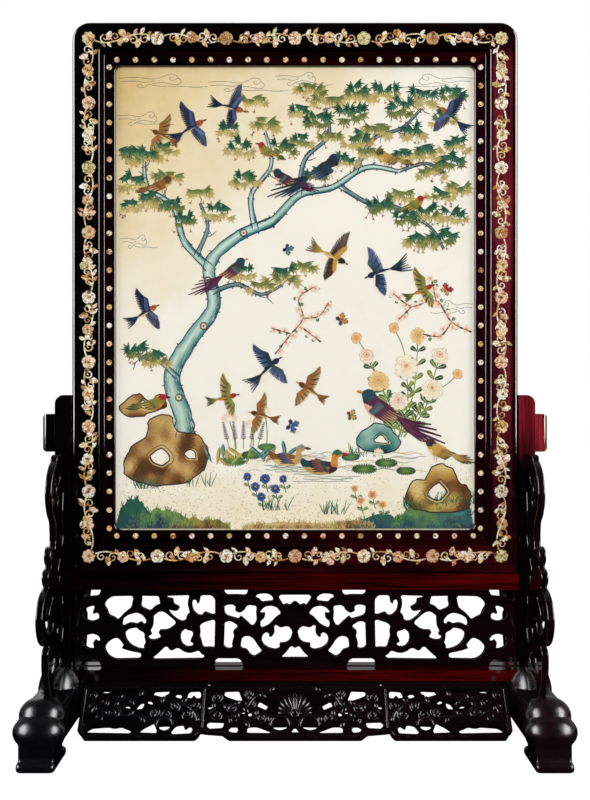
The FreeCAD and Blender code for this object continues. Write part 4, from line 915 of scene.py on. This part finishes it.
def limb(points, wide, thin):  # trunk or branch: threads run along it, shaded from edge to edge between dark lines
    line = flowing(points, 10)
    count = len(line)
    strands = max(2, round(wide / 0.8))
    knobs = [0.2 * patch(i * 0.4, wide, 3.0) for i in range(count)]

    def halfAt(i):
        return (wide + (thin - wide) * (i / (count - 1)) ** 0.8) / 2 * (1 + knobs[i])

    def beside(i, share):  # a point across the limb, and the way out to it
        before, after = line[max(0, i - 1)], line[min(count - 1, i + 1)]
        angle = math.atan2(after[1] - before[1], after[0] - before[0]) + math.pi / 2
        return ray(*line[i], angle, halfAt(i) * share), angle

    for strand in range(strands):
        share = (strand + 0.5) / strands * 2 - 1
        start = hand.randrange(0, 4)
        while start < count - 1:
            end = min(count - 1, start + hand.randrange(3, 6))
            run = [beside(k, share)[0] for k in (start, (start + end) // 2, end)]
            shade = (share + 1) / 2 + 0.2 * patch(run[1][0] * 0.07, run[1][1] * 0.07, 1.0)
            tint = shadeOf(bark, max(0, min(0.999, shade)) * (len(bark) - 1))
            stitch("tree", run, max(0.4, 1.2 * halfAt(start) / strands),
                   blendTint(tint, dye["deep"], 0.55 if wide < 6 else 0), 0.05 * hand.random(), 0.7)
            start = end
    for way in (-1, 1):
        couched("tree", [beside(i, way)[0] for i in range(count)], 0.55, "night", 0.12, 5)
        for i in range(3, count - 1, 5):  # spurs of the bark
            spot, angle = beside(i + hand.randrange(-1, 2), way)
            end = ray(*spot, angle + (0 if way > 0 else math.pi) + stray(0.7), within(1.2, 1.4))
            straight("tree", spot, end, 0.7, "night", 0.1, 0.4)
    return line


branches = [  # (points, width at the foot, width at the tip)
    ([(-110, -140), (-113, -118), (-124, -78), (-104, -40), (-82, -8), (-86, 34), (-58, 62), (-22, 78)], 20, 9),
    ([(-40, 71), (-22, 78), (4, 104), (38, 112), (72, 132), (104, 128)], 10, 3.5),
    ([(-86, 30), (-112, 58), (-122, 92), (-148, 112), (-152, 138)], 8, 2.5),
    ([(-40, 70), (-44, 104), (-24, 134), (-30, 168)], 6, 2),
    ([(4, 104), (10, 140), (34, 164), (30, 192)], 5, 1.8),
    ([(60, 126), (78, 160), (108, 172), (128, 192)], 4.5, 1.6),
    ([(44, 114), (74, 96), (102, 92), (136, 72), (150, 50)], 4.5, 1.6),
    ([(104, 128), (132, 136), (152, 126)], 3.5, 1.5),
    ([(-84, 6), (-58, 14), (-34, 4), (-12, 14)], 5, 1.6),
    ([(-118, -80), (-144, -58), (-158, -62)], 5, 1.8),
    ([(-100, 42), (-88, 72), (-96, 96)], 4.5, 1.6),
]
for points, wide, thin in branches:
    line = limb(points, wide, thin)
    if wide < 9:
        for spot in line[len(line) // 3::4]:  # bare twigs
            angle = hand.random() * 6.28
            bend = ray(*spot, angle, 5)
            stitch("tree", [spot, bend, ray(*bend, angle + 0.6, within(5, 4))], 0.55, "night", 0.05, 0.5)
boughs = [  # x, y, size of a leaf
    (-150, 148, 8), (-128, 130, 7.5), (-163, 122, 7), (-124, 98, 7.5), (-146, 104, 7), (-30, 182, 8), (-54, 156, 7.5),
    (-12, 156, 7.5), (-50, 124, 7), (32, 208, 8), (6, 192, 7.5), (56, 190, 7.5), (4, 162, 7), (36, 168, 7.5),
    (130, 208, 8), (104, 196, 7.5), (152, 186, 7), (84, 176, 7.5), (118, 172, 7), (156, 142, 8), (130, 152, 7.5),
    (164, 116, 6.5), (106, 148, 7), (150, 66, 8), (132, 90, 7.5), (106, 110, 7.5), (160, 88, 6.5), (86, 96, 7),
    (124, 62, 7), (76, 152, 7), (52, 142, 6.5), (22, 128, 6.5), (-10, 28, 7.5), (-34, 18, 7), (-54, 30, 6.5),
    (-160, -50, 7.5), (-138, -56, 7), (-96, 112, 7.5), (-78, 92, 7), (-112, 82, 7), (62, 212, 7.5), (14, 216, 7),
    (90, 212, 7), (160, 208, 7), (66, 164, 7), (138, 132, 7), (160, 160, 6.5), (-166, 150, 6.5), (-132, 154, 6.5),
    (-40, 204, 7), (-66, 174, 6.5), (110, 84, 7), (148, 108, 6.5), (8, 36, 6.5), (-168, 96, 6), (24, 182, 7),
]
crowns = [  # rows of (tone, leaves, spread, drop, sway)
    ((2, 6, 2.1, -0.75, 0.9), (1, 3, 1.4, -0.3, 1.2), (0, 3, 0.9, 0.4, 2.4)),
    ((2, 5, 1.9, -0.7, 0.9), (1, 4, 1.5, -0.2, 1.2)),
    ((2, 5, 1.8, -0.8, 0.9), (0, 4, 1.2, 0.3, 2.4)),
    ((1, 4, 1.5, -0.5, 1.2), (0, 5, 1.4, 0.3, 2.6)),
]
for number, (x, y, size) in enumerate(boughs):
    fan(x + stray(3), y, size * within(0.82, 0.3), crowns[number % 4])
    for k in range(3):  # brown sprigs at the fringe
        spot = (x + 3.6 * size * (hand.random() - 0.5), y - size * within(1.4, 0.5))
        aim = -math.pi / 2 + stray(1.4)
        fork = ray(*spot, aim, 2.6)
        straight("canopy", spot, ray(*spot, aim, 5), 0.28, "brown", 0.02, 0.6, "umber")
        for way in (-0.7, 0.7):
            straight("canopy", fork, ray(*fork, aim + way, 2.4), 0.4, "brown", 0.02, 0.5, "rust")
for x, y, angle in ((-92, -28, 0.2), (-117, -100, 2.6), (-88, 18, 3.0), (-52, 66, 1.0)):  # knots in the trunk
    for i, tint in enumerate(("night", "sand", "white", "umber")):
        stitch("tree", [ray(x, y, angle + k * 0.9, 3.8 - 1.05 * i) for k in range(8)], 0.6, tint, 0.2)


def rock(outline, holes, tints, slant):  # a pierced garden stone, worn into hollows
    tints = [dye[name] for name in tints]

    def craggy(points):
        return [(x + 2.6 * patch(x * 0.16, y * 0.16, 4), y + 2.6 * patch(x * 0.16, y * 0.16, 9))
                for x, y in closed(points)]

    edge = craggy(outline)
    gaps = [craggy(hole) for hole in holes]
    low, high = min(y for x, y in edge), max(y for x, y in edge)

    def tintAt(x, y):
        shade = 0.15 + 0.6 * (y - low) / (high - low) + 1.1 * patch(x * 0.06, y * 0.05, 7.0)
        return shadeOf(tints, max(0, min(2.99, shade * 3)))

    fill("ground", [edge] + gaps, slant, 0.72, tintAt, 0.2, 5)
    for ring in [edge] + gaps:
        couched("ground", ring + ring[:1], 0.62, "ink", 0.42)
    for gap in gaps:  # rims of the hollows
        cx, cy = sum(x for x, y in gap) / len(gap), sum(y for x, y in gap) / len(gap)
        for part, share, width, tint, lift in ((gap[:len(gap) * 3 // 4], 1.4, 0.35, tints[0], 0.38),
                                               (gap[len(gap) // 3:], 1.2, 0.6, tints[3], 0.36)):
            couched("ground", [(cx + share * (x - cx), cy + share * (y - cy)) for x, y in part], width, tint, lift)


stone = ("umber", "brown", "sand", "straw")
rock([(-172, -176), (-166, -150), (-150, -140), (-146, -122), (-126, -118), (-118, -134), (-100, -136), (-88, -152),
      (-92, -172), (-112, -186), (-146, -188)],
     [[(-146, -160), (-134, -152), (-126, -162), (-138, -168)], [(-112, -158), (-104, -152), (-100, -162)]],
     stone, 0.25)
rock([(-178, -112), (-160, -96), (-146, -104), (-136, -96), (-130, -108), (-146, -116), (-164, -120)],
     [[(-158, -108), (-152, -103), (-148, -110)]], stone, -0.1)
rock([(112, -206), (118, -186), (132, -182), (140, -168), (156, -170), (166, -186), (176, -192), (174, -212),
      (142, -216)], [[(134, -196), (144, -186), (152, -196), (142, -203)]], ("umber", "brown", "gold", "straw"), -0.2)
rock([(62, -148), (70, -132), (84, -126), (98, -132), (106, -148), (88, -156)],
     [[(80, -144), (88, -138), (94, -146)]], ("deep", "teal", "mist", "straw"), 0.15)

# peonies and smaller garden flowers, each on its stems with leaves
freshLeaf, paleLeaf = ("leaf", "moss", "straw"), ("moss", "leaf", "straw")
for x, y, size in ((112, -70, 12.5), (84, -84, 11), (138, -92, 11.5), (104, -104, 10), (146, -58, 9), (72, -58, 8),
                   (124, -38, 8)):
    foot = (104 + 0.15 * (x - 104), -140)
    line = flowing([foot, ((x + foot[0]) / 2 + 5, (y + foot[1]) / 2), (x, y)], 8)
    couched("foliage", line, 0.55, "moss", -0.16, 4)
    for i in range(3, len(line) - 2, 2):
        for way in (-1, 1):
            aim = math.atan2(line[i + 1][1] - line[i][1], line[i + 1][0] - line[i][0]) + way * within(0.7, 0.4)
            tints = hand.choice((("leaf", "pine", "straw"), paleLeaf, ("olive", "moss", "straw")))
            longLeaf(*line[i], aim, within(8, 4), 2.6, tints, -0.08 * hand.random())
    warm = hand.choice((("gold", "peach"), ("peach", "white"), ("blush", "white")))
    bloom(x, y, size, 8, *warm, "gold", hand.random(), 0, "gold")
    bloom(x + size * 0.06, y + size * 0.1, size * 0.68, 7, *warm, "gold", hand.random(), 0.1, "gold")
    bloom(x, y + size * 0.16, size * 0.38, 5, "orange", warm[1], "orange", hand.random(), 0.2, "rust")
for x, y, aim, foot in ((62, -40, 1.9, (84, -84)), (164, -76, 0.4, (138, -96)), (100, -30, 1.2, (112, -70))):
    line = flowing([foot, ((x + foot[0]) / 2 + 3, (y + foot[1]) / 2), (x, y)], 5)
    couched("foliage", line, 0.5, "moss", -0.16, 4)
    bloom(x, y, 5.4, 5, "orange", "peach", "gold", aim, 0, "rust")

twigs = [[(-20, -56), (-4, -36), (8, -20), (4, 0), (20, 12)], [(8, -20), (24, -18), (34, -4)],
         [(-24, -30), (-4, -36)], [(26, -44), (8, -30)],
         [(178, -34), (158, -24), (142, -2), (118, -8), (100, 4)], [(142, -2), (138, 18)],
         [(158, -24), (146, -38), (128, -36)], [(118, -8), (104, -22)]]
for twig in twigs:  # sprays of pale blossom in the middle and at the right
    line = flowing(twig, 8)
    couched("foliage", line, 0.95, "umber", 0, 4)
    for x, y in line[2::3]:
        bloom(x + stray(5), y + stray(5), 4.4, 5, "blush", "white", "orange", hand.random())
        longLeaf(x, y, hand.random() * 6.28, 6, 1.8, freshLeaf, -0.1)

asters = {("navy", "blue"): [(-40, -190, 5), (-30, -182, 5.5), (-20, -192, 5), (-48, -180, 4.4), (-34, -200, 4.6),
                             (-12, -182, 4.2)],
          ("red", "peach"): [(66, -204, 4.6), (78, -198, 5), (88, -208, 4.4), (60, -192, 4)]}
for tints, places in asters.items():
    for x, y, size in places:
        couched("foliage", flowing([(x + 3, y - 14), (x + 1, y - 6), (x, y)], 4), 0.45, "leaf", -0.18, 4)
        for way in (-1, 1):
            longLeaf(x + 2, y - 10, math.pi / 2 + way * 1.0, 7, 1.5, paleLeaf, -0.12)
        bloom(x, y, size, 10, *tints, "gold", 0.3)

for i in range(5):  # lilac spikes
    foot, aim = (-66 + 7 * i, -152), 1.57 - 0.12 * (i - 2)
    couched("foliage", [foot, ray(*foot, aim, 12), ray(*foot, aim, 26)], 0.45, "moss", -0.15, 4)
    for k in range(9):
        spot = ray(*foot, aim, 10 + 2.1 * k)
        for way in (-1, 1):
            straight("flowers", spot, ray(*spot, aim + way * 0.9, 3.2 - 0.2 * k), 0.55, "lilac" if k % 2 else "plum")
for i in range(16):  # broad leaves at the water's edge
    x = -84 + 5 * i * hand.random() + 2 * i
    longLeaf(x, -160 - 10 * hand.random(), within(0.5, 2.1), within(14, 8), 2.2,
             hand.choice((("moss", "olive", "straw"), ("teal", "deep", "mist"), ("gold", "olive", "straw"))))

for x, y, size in ((-62, -164, 9), (-44, -158, 7.5), (-28, -150, 6.5), (70, -172, 9), (92, -166, 8), (56, -160, 6.5),
                   (112, -174, 7)):  # pads of water lilies
    tone = hand.choice(("pine", "leaf", "deep"))
    for step, wide, tall, look in ((1, 1.4, 0.62, (0.8, "moss", -0.1, 0.7, tone)),
                                   (4, 1.2, 0.52, (0.2, "straw", 0.06))):  # the leaf, then its veins
        for k in range(0, 26, step):
            angle = 0.4 + 5.9 * k / 25
            end = (x + size * wide * math.cos(angle), y + size * tall * math.sin(angle))
            straight("foliage", (x, y), end, *look)
for x, y, size, foot in ((-66, -124, 10, -60), (-44, -130, 8.5, -44), (-30, -116, 7, -30), (84, -158, 7.5, 88)):
    stem = [(foot, -160 if foot < 0 else -168), ((x + foot) / 2 + 2, (y - 160) / 2), (x, y)]  # their flowers
    couched("foliage", flowing(stem, 6), 0.55, "moss", -0.15, 4)
    for k in (-4, 4, -3, 3, -2, 2, -1, 1, 0):
        aim = math.pi / 2 + 0.33 * k
        lift, tip = 0.05 * (4 - abs(k)), ray(x, y, aim, size * (1 - 0.05 * abs(k)))
        for side in (-1, -0.4, 0.4, 1):
            stitch("flowers", [(x, y), ray(x, y, aim + side * 0.16, size * 0.62), tip], 0.7, "white", lift, 0.4,
                   "blush" if k % 2 else "peach")
        straight("flowers", ray(x, y, aim, size * 0.2), tip, 0.16, "rust", lift + 0.1)


# ground: mounds, stippled sand, grass tufts and lines of water
def mound(x, wide, high, tints):  # a mossy bank, its threads upright and paler to the top
    y = -232.4
    first, second, third = [dye[name] for name in tints]
    edge = [(x + wide * math.cos(math.pi * i / 30),
             y + high * math.sin(math.pi * i / 30) * (1 + 0.3 * patch(i * 0.45, x, 1.5))) for i in range(31)]

    def tintAt(px, py):
        return blendTint(first, second, max(0, min(1, (py - y) / high + 0.9 * patch(px * 0.12, py * 0.1, 2))))

    fill("ground", [edge], 1.5, 0.8, tintAt, 0.05 + 0.002 * (34 - high), 5)
    for i in range(round(wide * 2.4)):  # tufts along its edge and over it
        px, py = edge[hand.randrange(1, 30)]
        py = y + (py - y) * (1 if i % 2 else hand.random())
        foot = (px + 2 * hand.random() - 1, py - 1)
        straight("ground", foot, ray(px, py, 1.57 + stray(1.5), within(1.5, 3)), 0.45, third, 0.26, 0.4, second)


for left, right, tall, tints in (
        (142, 179.5, 34, ("night", "teal", "pine")), (98, 166, 22, ("deep", "moss", "pine")),
        (60, 122, 14, ("night", "leaf", "pine")), (36, 80, 9, ("umber", "sand", "moss")),
        (-179.5, -144, 30, ("deep", "leaf", "pine")), (-168, -104, 19, ("night", "moss", "pine")),
        (-126, -66, 11, ("umber", "olive", "moss")), (-52, 50, 7, ("brown", "straw", "olive"))):
    mound((left + right) / 2, (right - left) / 2, tall, tints)
sown = {"specks": 1500, "blades": 150, "ripples": 46}
for i in range(sown["specks"]):
    x = within(-178, 356)
    y = -231 + 70 * hand.random() ** 1.5 + 8 * math.sin(x * 0.03) * hand.random()
    straight("ground", (x, y), (x + 0.9, y + 0.2), 0.34, hand.choice(("olive", "sand", "sand", "brown")), 0, 0.8)
for i in range(sown["blades"]):
    x, y = hand.choice(((-150, -192), (-96, -190), (150, -210), (120, -212), (168, -208), (40, -218), (-20, -214),
                        (70, -160)))
    x += stray(26)
    aim = math.pi / 2 + stray(1.1)
    tip = ray(x, y, aim, within(8, 9))
    stitch("ground", [(x, y), ray(x, y, aim + 0.12, 5), tip], 0.5, "pine", 0.26, 0.4,
           hand.choice(("leaf", "moss", "teal")))
for i in range(sown["ripples"]):
    x, y = within(-60, 170), within(-176, 22)
    long = within(12, 26)
    line = [(x + long * k / 8, y + 0.9 * math.sin(k * 1.1 + i)) for k in range(9)]
    couched("ground", line, 0.3, hand.choice(("sand", "grey", "mist")), 0, 8)

scrolls = [[(0, 0), (0.3, 0.6), (0.55, -0.6), (0.7, 0.8), (0.8, 2.8), (0.9, 3), (0.96, 1), (0.92, -1.2), (0.85, -1.4),
            (0.83, 0.2), (0.88, 0.9)],
           [(0.96, 0.4), (1.02, -2.2), (0.97, -4.8), (0.86, -4.6), (0.7, -3.4), (0.5, -4.8), (0.42, -7), (0.34, -7.2),
            (0.3, -5.6), (0.36, -4.8), (0.39, -5.8)],
           [(0.04, -2.6), (0.26, -2.2), (0.44, -3.2), (0.6, -1.8)],
           [(0.5, -5), (0.75, -6.6), (1.0, -6.2), (1.25, -7), (1.45, -6.4)]]
for x, y, size, way in ((-178, 222, 62, 1), (-88, 218, 56, 1), (180, 222, 54, -1), (-180, 184, 40, 1),
                        (180, -6, 30, -1), (-20, 224, 40, 1), (-176, 60, 26, 1)):  # clouds in one thin dark thread
    for run in scrolls:
        couched("ground", flowing([(x + way * size * u, y + 1.3 * v) for u, v in run], 5), 0.25, "smoke")

perched = [(0.62, 0.24), (0.5, 0.38), (0.34, 0.38), (0.18, 0.28), (-0.15, 0.2), (-0.5, 0.05), (-0.54, -0.03),
           (-0.35, -0.14), (-0.05, -0.25), (0.22, -0.23), (0.42, -0.08), (0.55, 0.1)]
gliding = [(0.62, 0.03), (0.5, 0.14), (0.3, 0.15), (0, 0.13), (-0.4, 0.05), (-0.52, 0), (-0.4, -0.07), (0, -0.15),
           (0.3, -0.13), (0.5, -0.08)]


def bird(x, y, angle, size, flip, paint, flying, tail):  # size is the body's length; flip mirrors it
    ca, sa = math.cos(angle), math.sin(angle)

    def at(u, v):
        v *= flip
        return (x + size * (u * ca - v * sa), y + size * (u * sa + v * ca))

    def feather(u, v, aim, length, width, lift, fade, tint="back"):
        middle = at(*ray(u, v, aim + 0.12, length * 0.5))  # bent a little
        stitch("birds", [at(u, v), middle, at(*ray(u, v, aim, length))], width * size, paint[tint], lift, 0.5,
               paint[fade])

    headLevel = 0.03 if flying else 0.24
    head = at(0.44, headLevel)

    def tintAt(px, py):
        if math.hypot(px - head[0], py - head[1]) < 0.17 * size:
            return paint["head"]
        v = ((py - y) * ca - (px - x) * sa) * flip / size
        return paint["belly" if v < (-0.03 if flying else -0.02) else "back"]

    for i in range(-3, 4):  # tail
        long = tail * (1 + (0.35 * abs(i) / 3 if flying else -0.12 * abs(i)))
        aim = math.pi + (0.13 * i if flying else 0.12 + 0.09 * i)
        feather(-0.45, 0.0, aim, long, 0.04, 0.02, "tail" if i % 2 else "wing")
    outline = closed([at(u, v) for u, v in (gliding if flying else perched)], 4)
    fill("birds", [outline], angle + (0 if flying else 0.25 * flip), 0.62, tintAt, 0.08, 3.2)
    if flying:
        for way, share in ((1, 1.0), (-1, 0.82)):  # quills, then the coverts over them
            for i in range(14):
                t = i / 13
                reach = min(1, t * 1.5)
                feather(0.22 + 0.14 * reach, way * (0.08 + 0.42 * reach) * share, way * math.radians(172 - 66 * t),
                        (0.42 + 0.42 * t) * share, 0.05, 0.12 + 0.01 * i, "tip" if i % 3 else "wing", "wing")
            for i in range(10):
                t = i / 9
                feather(0.26 + 0.14 * t, way * (0.06 + 0.46 * t) * share, way * math.radians(168 - 50 * t),
                        0.28 * share, 0.055, 0.26, "covert")
    else:
        count = max(6, round(size / 3))
        slim = 6 / count
        for start, long, lift, tint, other in ((-0.02, 0.62, 0.14, "tip", "wing"), (0.08, 0.46, 0.2, "wing", "wing"),
                                               (0.16, 0.28, 0.26, "covert", "covert")):
            for i in range(count):
                row = i * slim
                feather(start + 0.02 * row, 0.16 - 0.055 * row, math.pi + 0.16 + 0.03 * row, long * (1 - 0.06 * row),
                        0.048 * slim, lift, tint if i % 2 else other)
        for leg in (0.06, 0.16):
            straight("birds", at(leg, -0.22), at(leg - 0.03, -0.42), 0.3, "rust")
    straight("birds", at(0.6, headLevel), at(0.77, headLevel - 0.03), 0.045 * size, paint["beak"], 0.16, 0.35)
    eye = at(0.48, 0.07 if flying else 0.29)
    straight("birds", eye, (eye[0] + 0.5, eye[1]), 0.55, "ink", 0.3, 0.9)
    for i in range(5):  # speckles on the breast
        spot = at(within(0.1, 0.3), within(-0.1 if flying else -0.12, 0.08))
        straight("birds", spot, ray(*spot, angle, 0.8), 0.3, paint["wing"], 0.16)


birdParts = ("back", "belly", "head", "wing", "tip", "covert", "tail", "beak")
coats = {name: dict(zip(birdParts, tints.split())) for name, tints in {
    "swallow": "navy peach rust navy ink slate ink umber", "magpie": "ink white navy navy slate deep deep ink",
    "thrush": "brown straw umber umber sand rust brown orange", "finch": "olive orange red pine gold moss pine ink",
    "jay": "plum blush deep plum sand teal plum orange", "oriole": "gold peach ink ink umber orange umber red"}.items()}
flock = [  # x, y, angle, size, flip, coat, flying, tail
    (-104, 172, 0.5, 22, 1, "swallow", True, 0.6), (-64, 192, -0.3, 20, 1, "swallow", True, 0.6),
    (-134, 164, 2.7, 18, -1, "thrush", True, 0.5), (156, 184, 2.5, 21, -1, "swallow", True, 0.6),
    (30, 130, 0.35, 30, 1, "magpie", False, 1.7), (-10, 120, 2.9, 22, -1, "jay", False, 1.2),
    (94, 141, 3.0, 21, -1, "oriole", False, 0.8), (120, 94, 0.3, 19, 1, "finch", False, 0.7),
    (-136, 114, 0.2, 21, 1, "thrush", False, 0.8), (-62, 28, 0.4, 24, 1, "jay", False, 1.7),
    (-28, 148, 2.8, 18, -1, "finch", False, 0.7), (38, 42, -0.5, 23, 1, "oriole", True, 0.6),
    (86, 26, 3.5, 22, -1, "magpie", True, 0.8), (128, 8, 0.4, 19, 1, "finch", True, 0.5),
    (-26, -70, 0.7, 22, 1, "magpie", True, 0.7), (14, -92, 2.6, 20, -1, "thrush", True, 0.5),
    (-70, -100, 0.2, 19, 1, "finch", True, 0.5), (86, -112, 2.75, 38, -1, "jay", False, 1.5),
    (-142, -106, 0.1, 22, 1, "finch", False, 0.9), (-150, -14, 0.5, 20, 1, "swallow", True, 0.6),
    (146, -154, 2.9, 26, -1, "oriole", False, 1.0), (-34, -118, 2.9, 18, -1, "thrush", True, 0.5),
]
for x, y, angle, size, flip, coat, flying, tail in flock:
    bird(x, y, angle, size, flip, coats[coat], flying, tail)

hullOutline = [(0.46, 0.12), (0.3, 0.2), (0, 0.25), (-0.35, 0.24), (-0.64, 0.36), (-0.56, 0.1), (-0.35, -0.1),
               (0, -0.16), (0.3, -0.13), (0.48, -0.02)]
neckOutline = [(0.3, 0.1), (0.32, 0.32), (0.36, 0.5), (0.5, 0.58), (0.62, 0.5), (0.6, 0.38), (0.5, 0.3), (0.5, 0.06)]


def duck(x, y, size, tints):  # swims to the right
    paint = dict(zip(("breast", "side", "back", "head", "neck", "quill", "sail", "bill"), tints.split()))

    def at(u, v):
        return (x + size * u, y + size * v)

    def hullTint(px, py):
        if px - x > 0.22 * size:
            return paint["breast"]
        return paint["side" if py < y + 0.06 * size else "back"]

    def neckTint(px, py):
        return paint["head" if py > y + 0.42 * size else "neck"]

    fill("birds", [closed([at(u, v) for u, v in hullOutline])], 0.1, 0.65, hullTint, 0.02, 4)
    fill("birds", [closed([at(u, v) for u, v in neckOutline])], 1.2, 0.65, neckTint, 0.1, 3.5)
    for row, (long, tint) in enumerate(((0.5, "quill"), (0.4, "sail"), (0.26, "back"))):
        for i in range(6):
            u, v = 0.12 + 0.03 * i - 0.02 * row, 0.2 - 0.06 * i
            stitch("birds", [at(u, v), at(u - long * 0.5, v + 0.05), at(u - long, v + 0.02 + 0.04 * row)], 0.04 * size,
                   paint[tint], 0.12 + 0.05 * row, 0.45)
    straight("birds", at(0.6, 0.46), at(0.82, 0.42), 0.05 * size, paint["bill"], 0.16, 0.5)
    straight("birds", at(0.5, 0.5), at(0.53, 0.5), 0.5, "ink", 0.26, 0.9)
    for k in range(4):  # ripples
        begin, long = within(-0.9, 0.5), within(0.9, 0.9)
        line = [at(begin + long * i / 10, -0.16 - 0.07 * k + 0.015 * math.sin(i * 1.3 + k)) for i in range(11)]
        couched("ground", line, 0.34, "grey" if k % 2 else "teal", 0.1, 10)


duck(26, -172, 34, "plum sand deep leaf orange navy rust red")  # drake
duck(-8, -164, 29, "sand straw brown grey sand umber blue umber")  # hen

for x, y, turn, size, first, second in (
        (46, -22, 0.5, 8, "orange", "ink"), (-4, -128, -0.4, 9, "blue", "navy"), (152, 8, 0.9, 8, "red", "gold"),
        (56, -118, 0.2, 7, "gold", "umber"), (-8, 50, -0.6, 7, "teal", "navy")):  # butterflies
    for way in (-1, 1):
        for aim, reach, tint in ((0.75, size, first), (2.1, size * 0.7, second)):
            for k in range(-3, 4):
                angle = turn + way * (aim + k * 0.15)
                straight("birds", ray(x, y, angle, size * 0.12), ray(x, y, angle, reach * (1 - 0.05 * k * k)), 0.55,
                         tint, 0.05)
                straight("birds", ray(x, y, angle, reach * 0.8), ray(x, y, angle, reach * (1.02 - 0.05 * k * k)), 0.5,
                         "ink", 0.1)
    front = ray(x, y, turn, size * 0.4)
    straight("birds", ray(x, y, turn + math.pi, size * 0.35), front, 0.6, "ink", 0.2)
    for way in (-1, 1):
        straight("birds", front, ray(x, y, turn + way * 0.3, size * 0.95), 0.22, "ink", 0.1)

for layer, threads in layers.items():
    sewn = strokeMesh(f"embroidery_{layer}", threads, floss, 4, sewing["flatness"])
    piece = addPiece(f"embroidery_{layer}", standing(sewn, silkFront + sewing["proud"]), "panel")
    print("embroidered", layer + ":", len(threads), "threads,", len(sewn.polygons) * 2, "triangles")


# boards, pegs and pins that stay as they are in the CAD
def plainBoard(name, dark, pale, roughness):  # planed board: straight grain up the panel, open and dry
    material, tree, shader = newMaterial(name)
    drawn = addNode(tree, "ShaderNodeMapping", {
        0: placeIn(tree), "Scale": (1 / (9 * mm), 1 / (9 * mm), 1 / (220 * mm))}).outputs[0]
    grain = addNode(tree, "ShaderNodeTexNoise", {0: drawn, "Scale": 1.0, "Detail": 6.0, "Distortion": 1.2}).outputs[0]
    plug(shader, {"Base Color": toned(tree, grain, (0.3, dark), (0.7, pale)), "Normal": raised(tree, grain, 0.2, 0.3),
                  "Roughness": roughness})
    return material


pegWood, tree, shader = newMaterial("waxed end grain of hongmu pegs")  # fine dark rings on red-brown
rings = bands(tree, placeIn(tree), 6, {"wave_type": "RINGS", "rings_direction": "Y", "Distortion": 4.0, "Detail": 2.0})
plug(shader, {"Base Color": toned(tree, rings[0], (0.2, "#1c0706"), (0.7, "#3d110c")), "Roughness": 0.35})
pinMetal, tree, shader = newMaterial("dull drawn brass")  # brown-gold, clouded with tarnish
tarnish = speckle(tree, placeIn(tree), 1.5, {"Detail": 3.0})[0]
plug(shader, {"Base Color": toned(tree, tarnish, (0.3, "#6b4a1c"), (0.7, "#b58b45")), "Metallic": 1.0,
              "Roughness": 0.42})
finishes = {
    "corner_pegs": pegWood, "rail_pegs": pegWood, "bead_pins": pinMetal,
    "mounting_board": plainBoard("planed softwood", "#8a6a42", "#c3a472", 0.7),
    "back_board": plainBoard("stained back board", "#2a120b", "#56291a", 0.5),
}
for node, material in finishes.items():
    for slot in nodes[node].material_slots:
        slot.material = material
print("boards, pegs and pins finished")
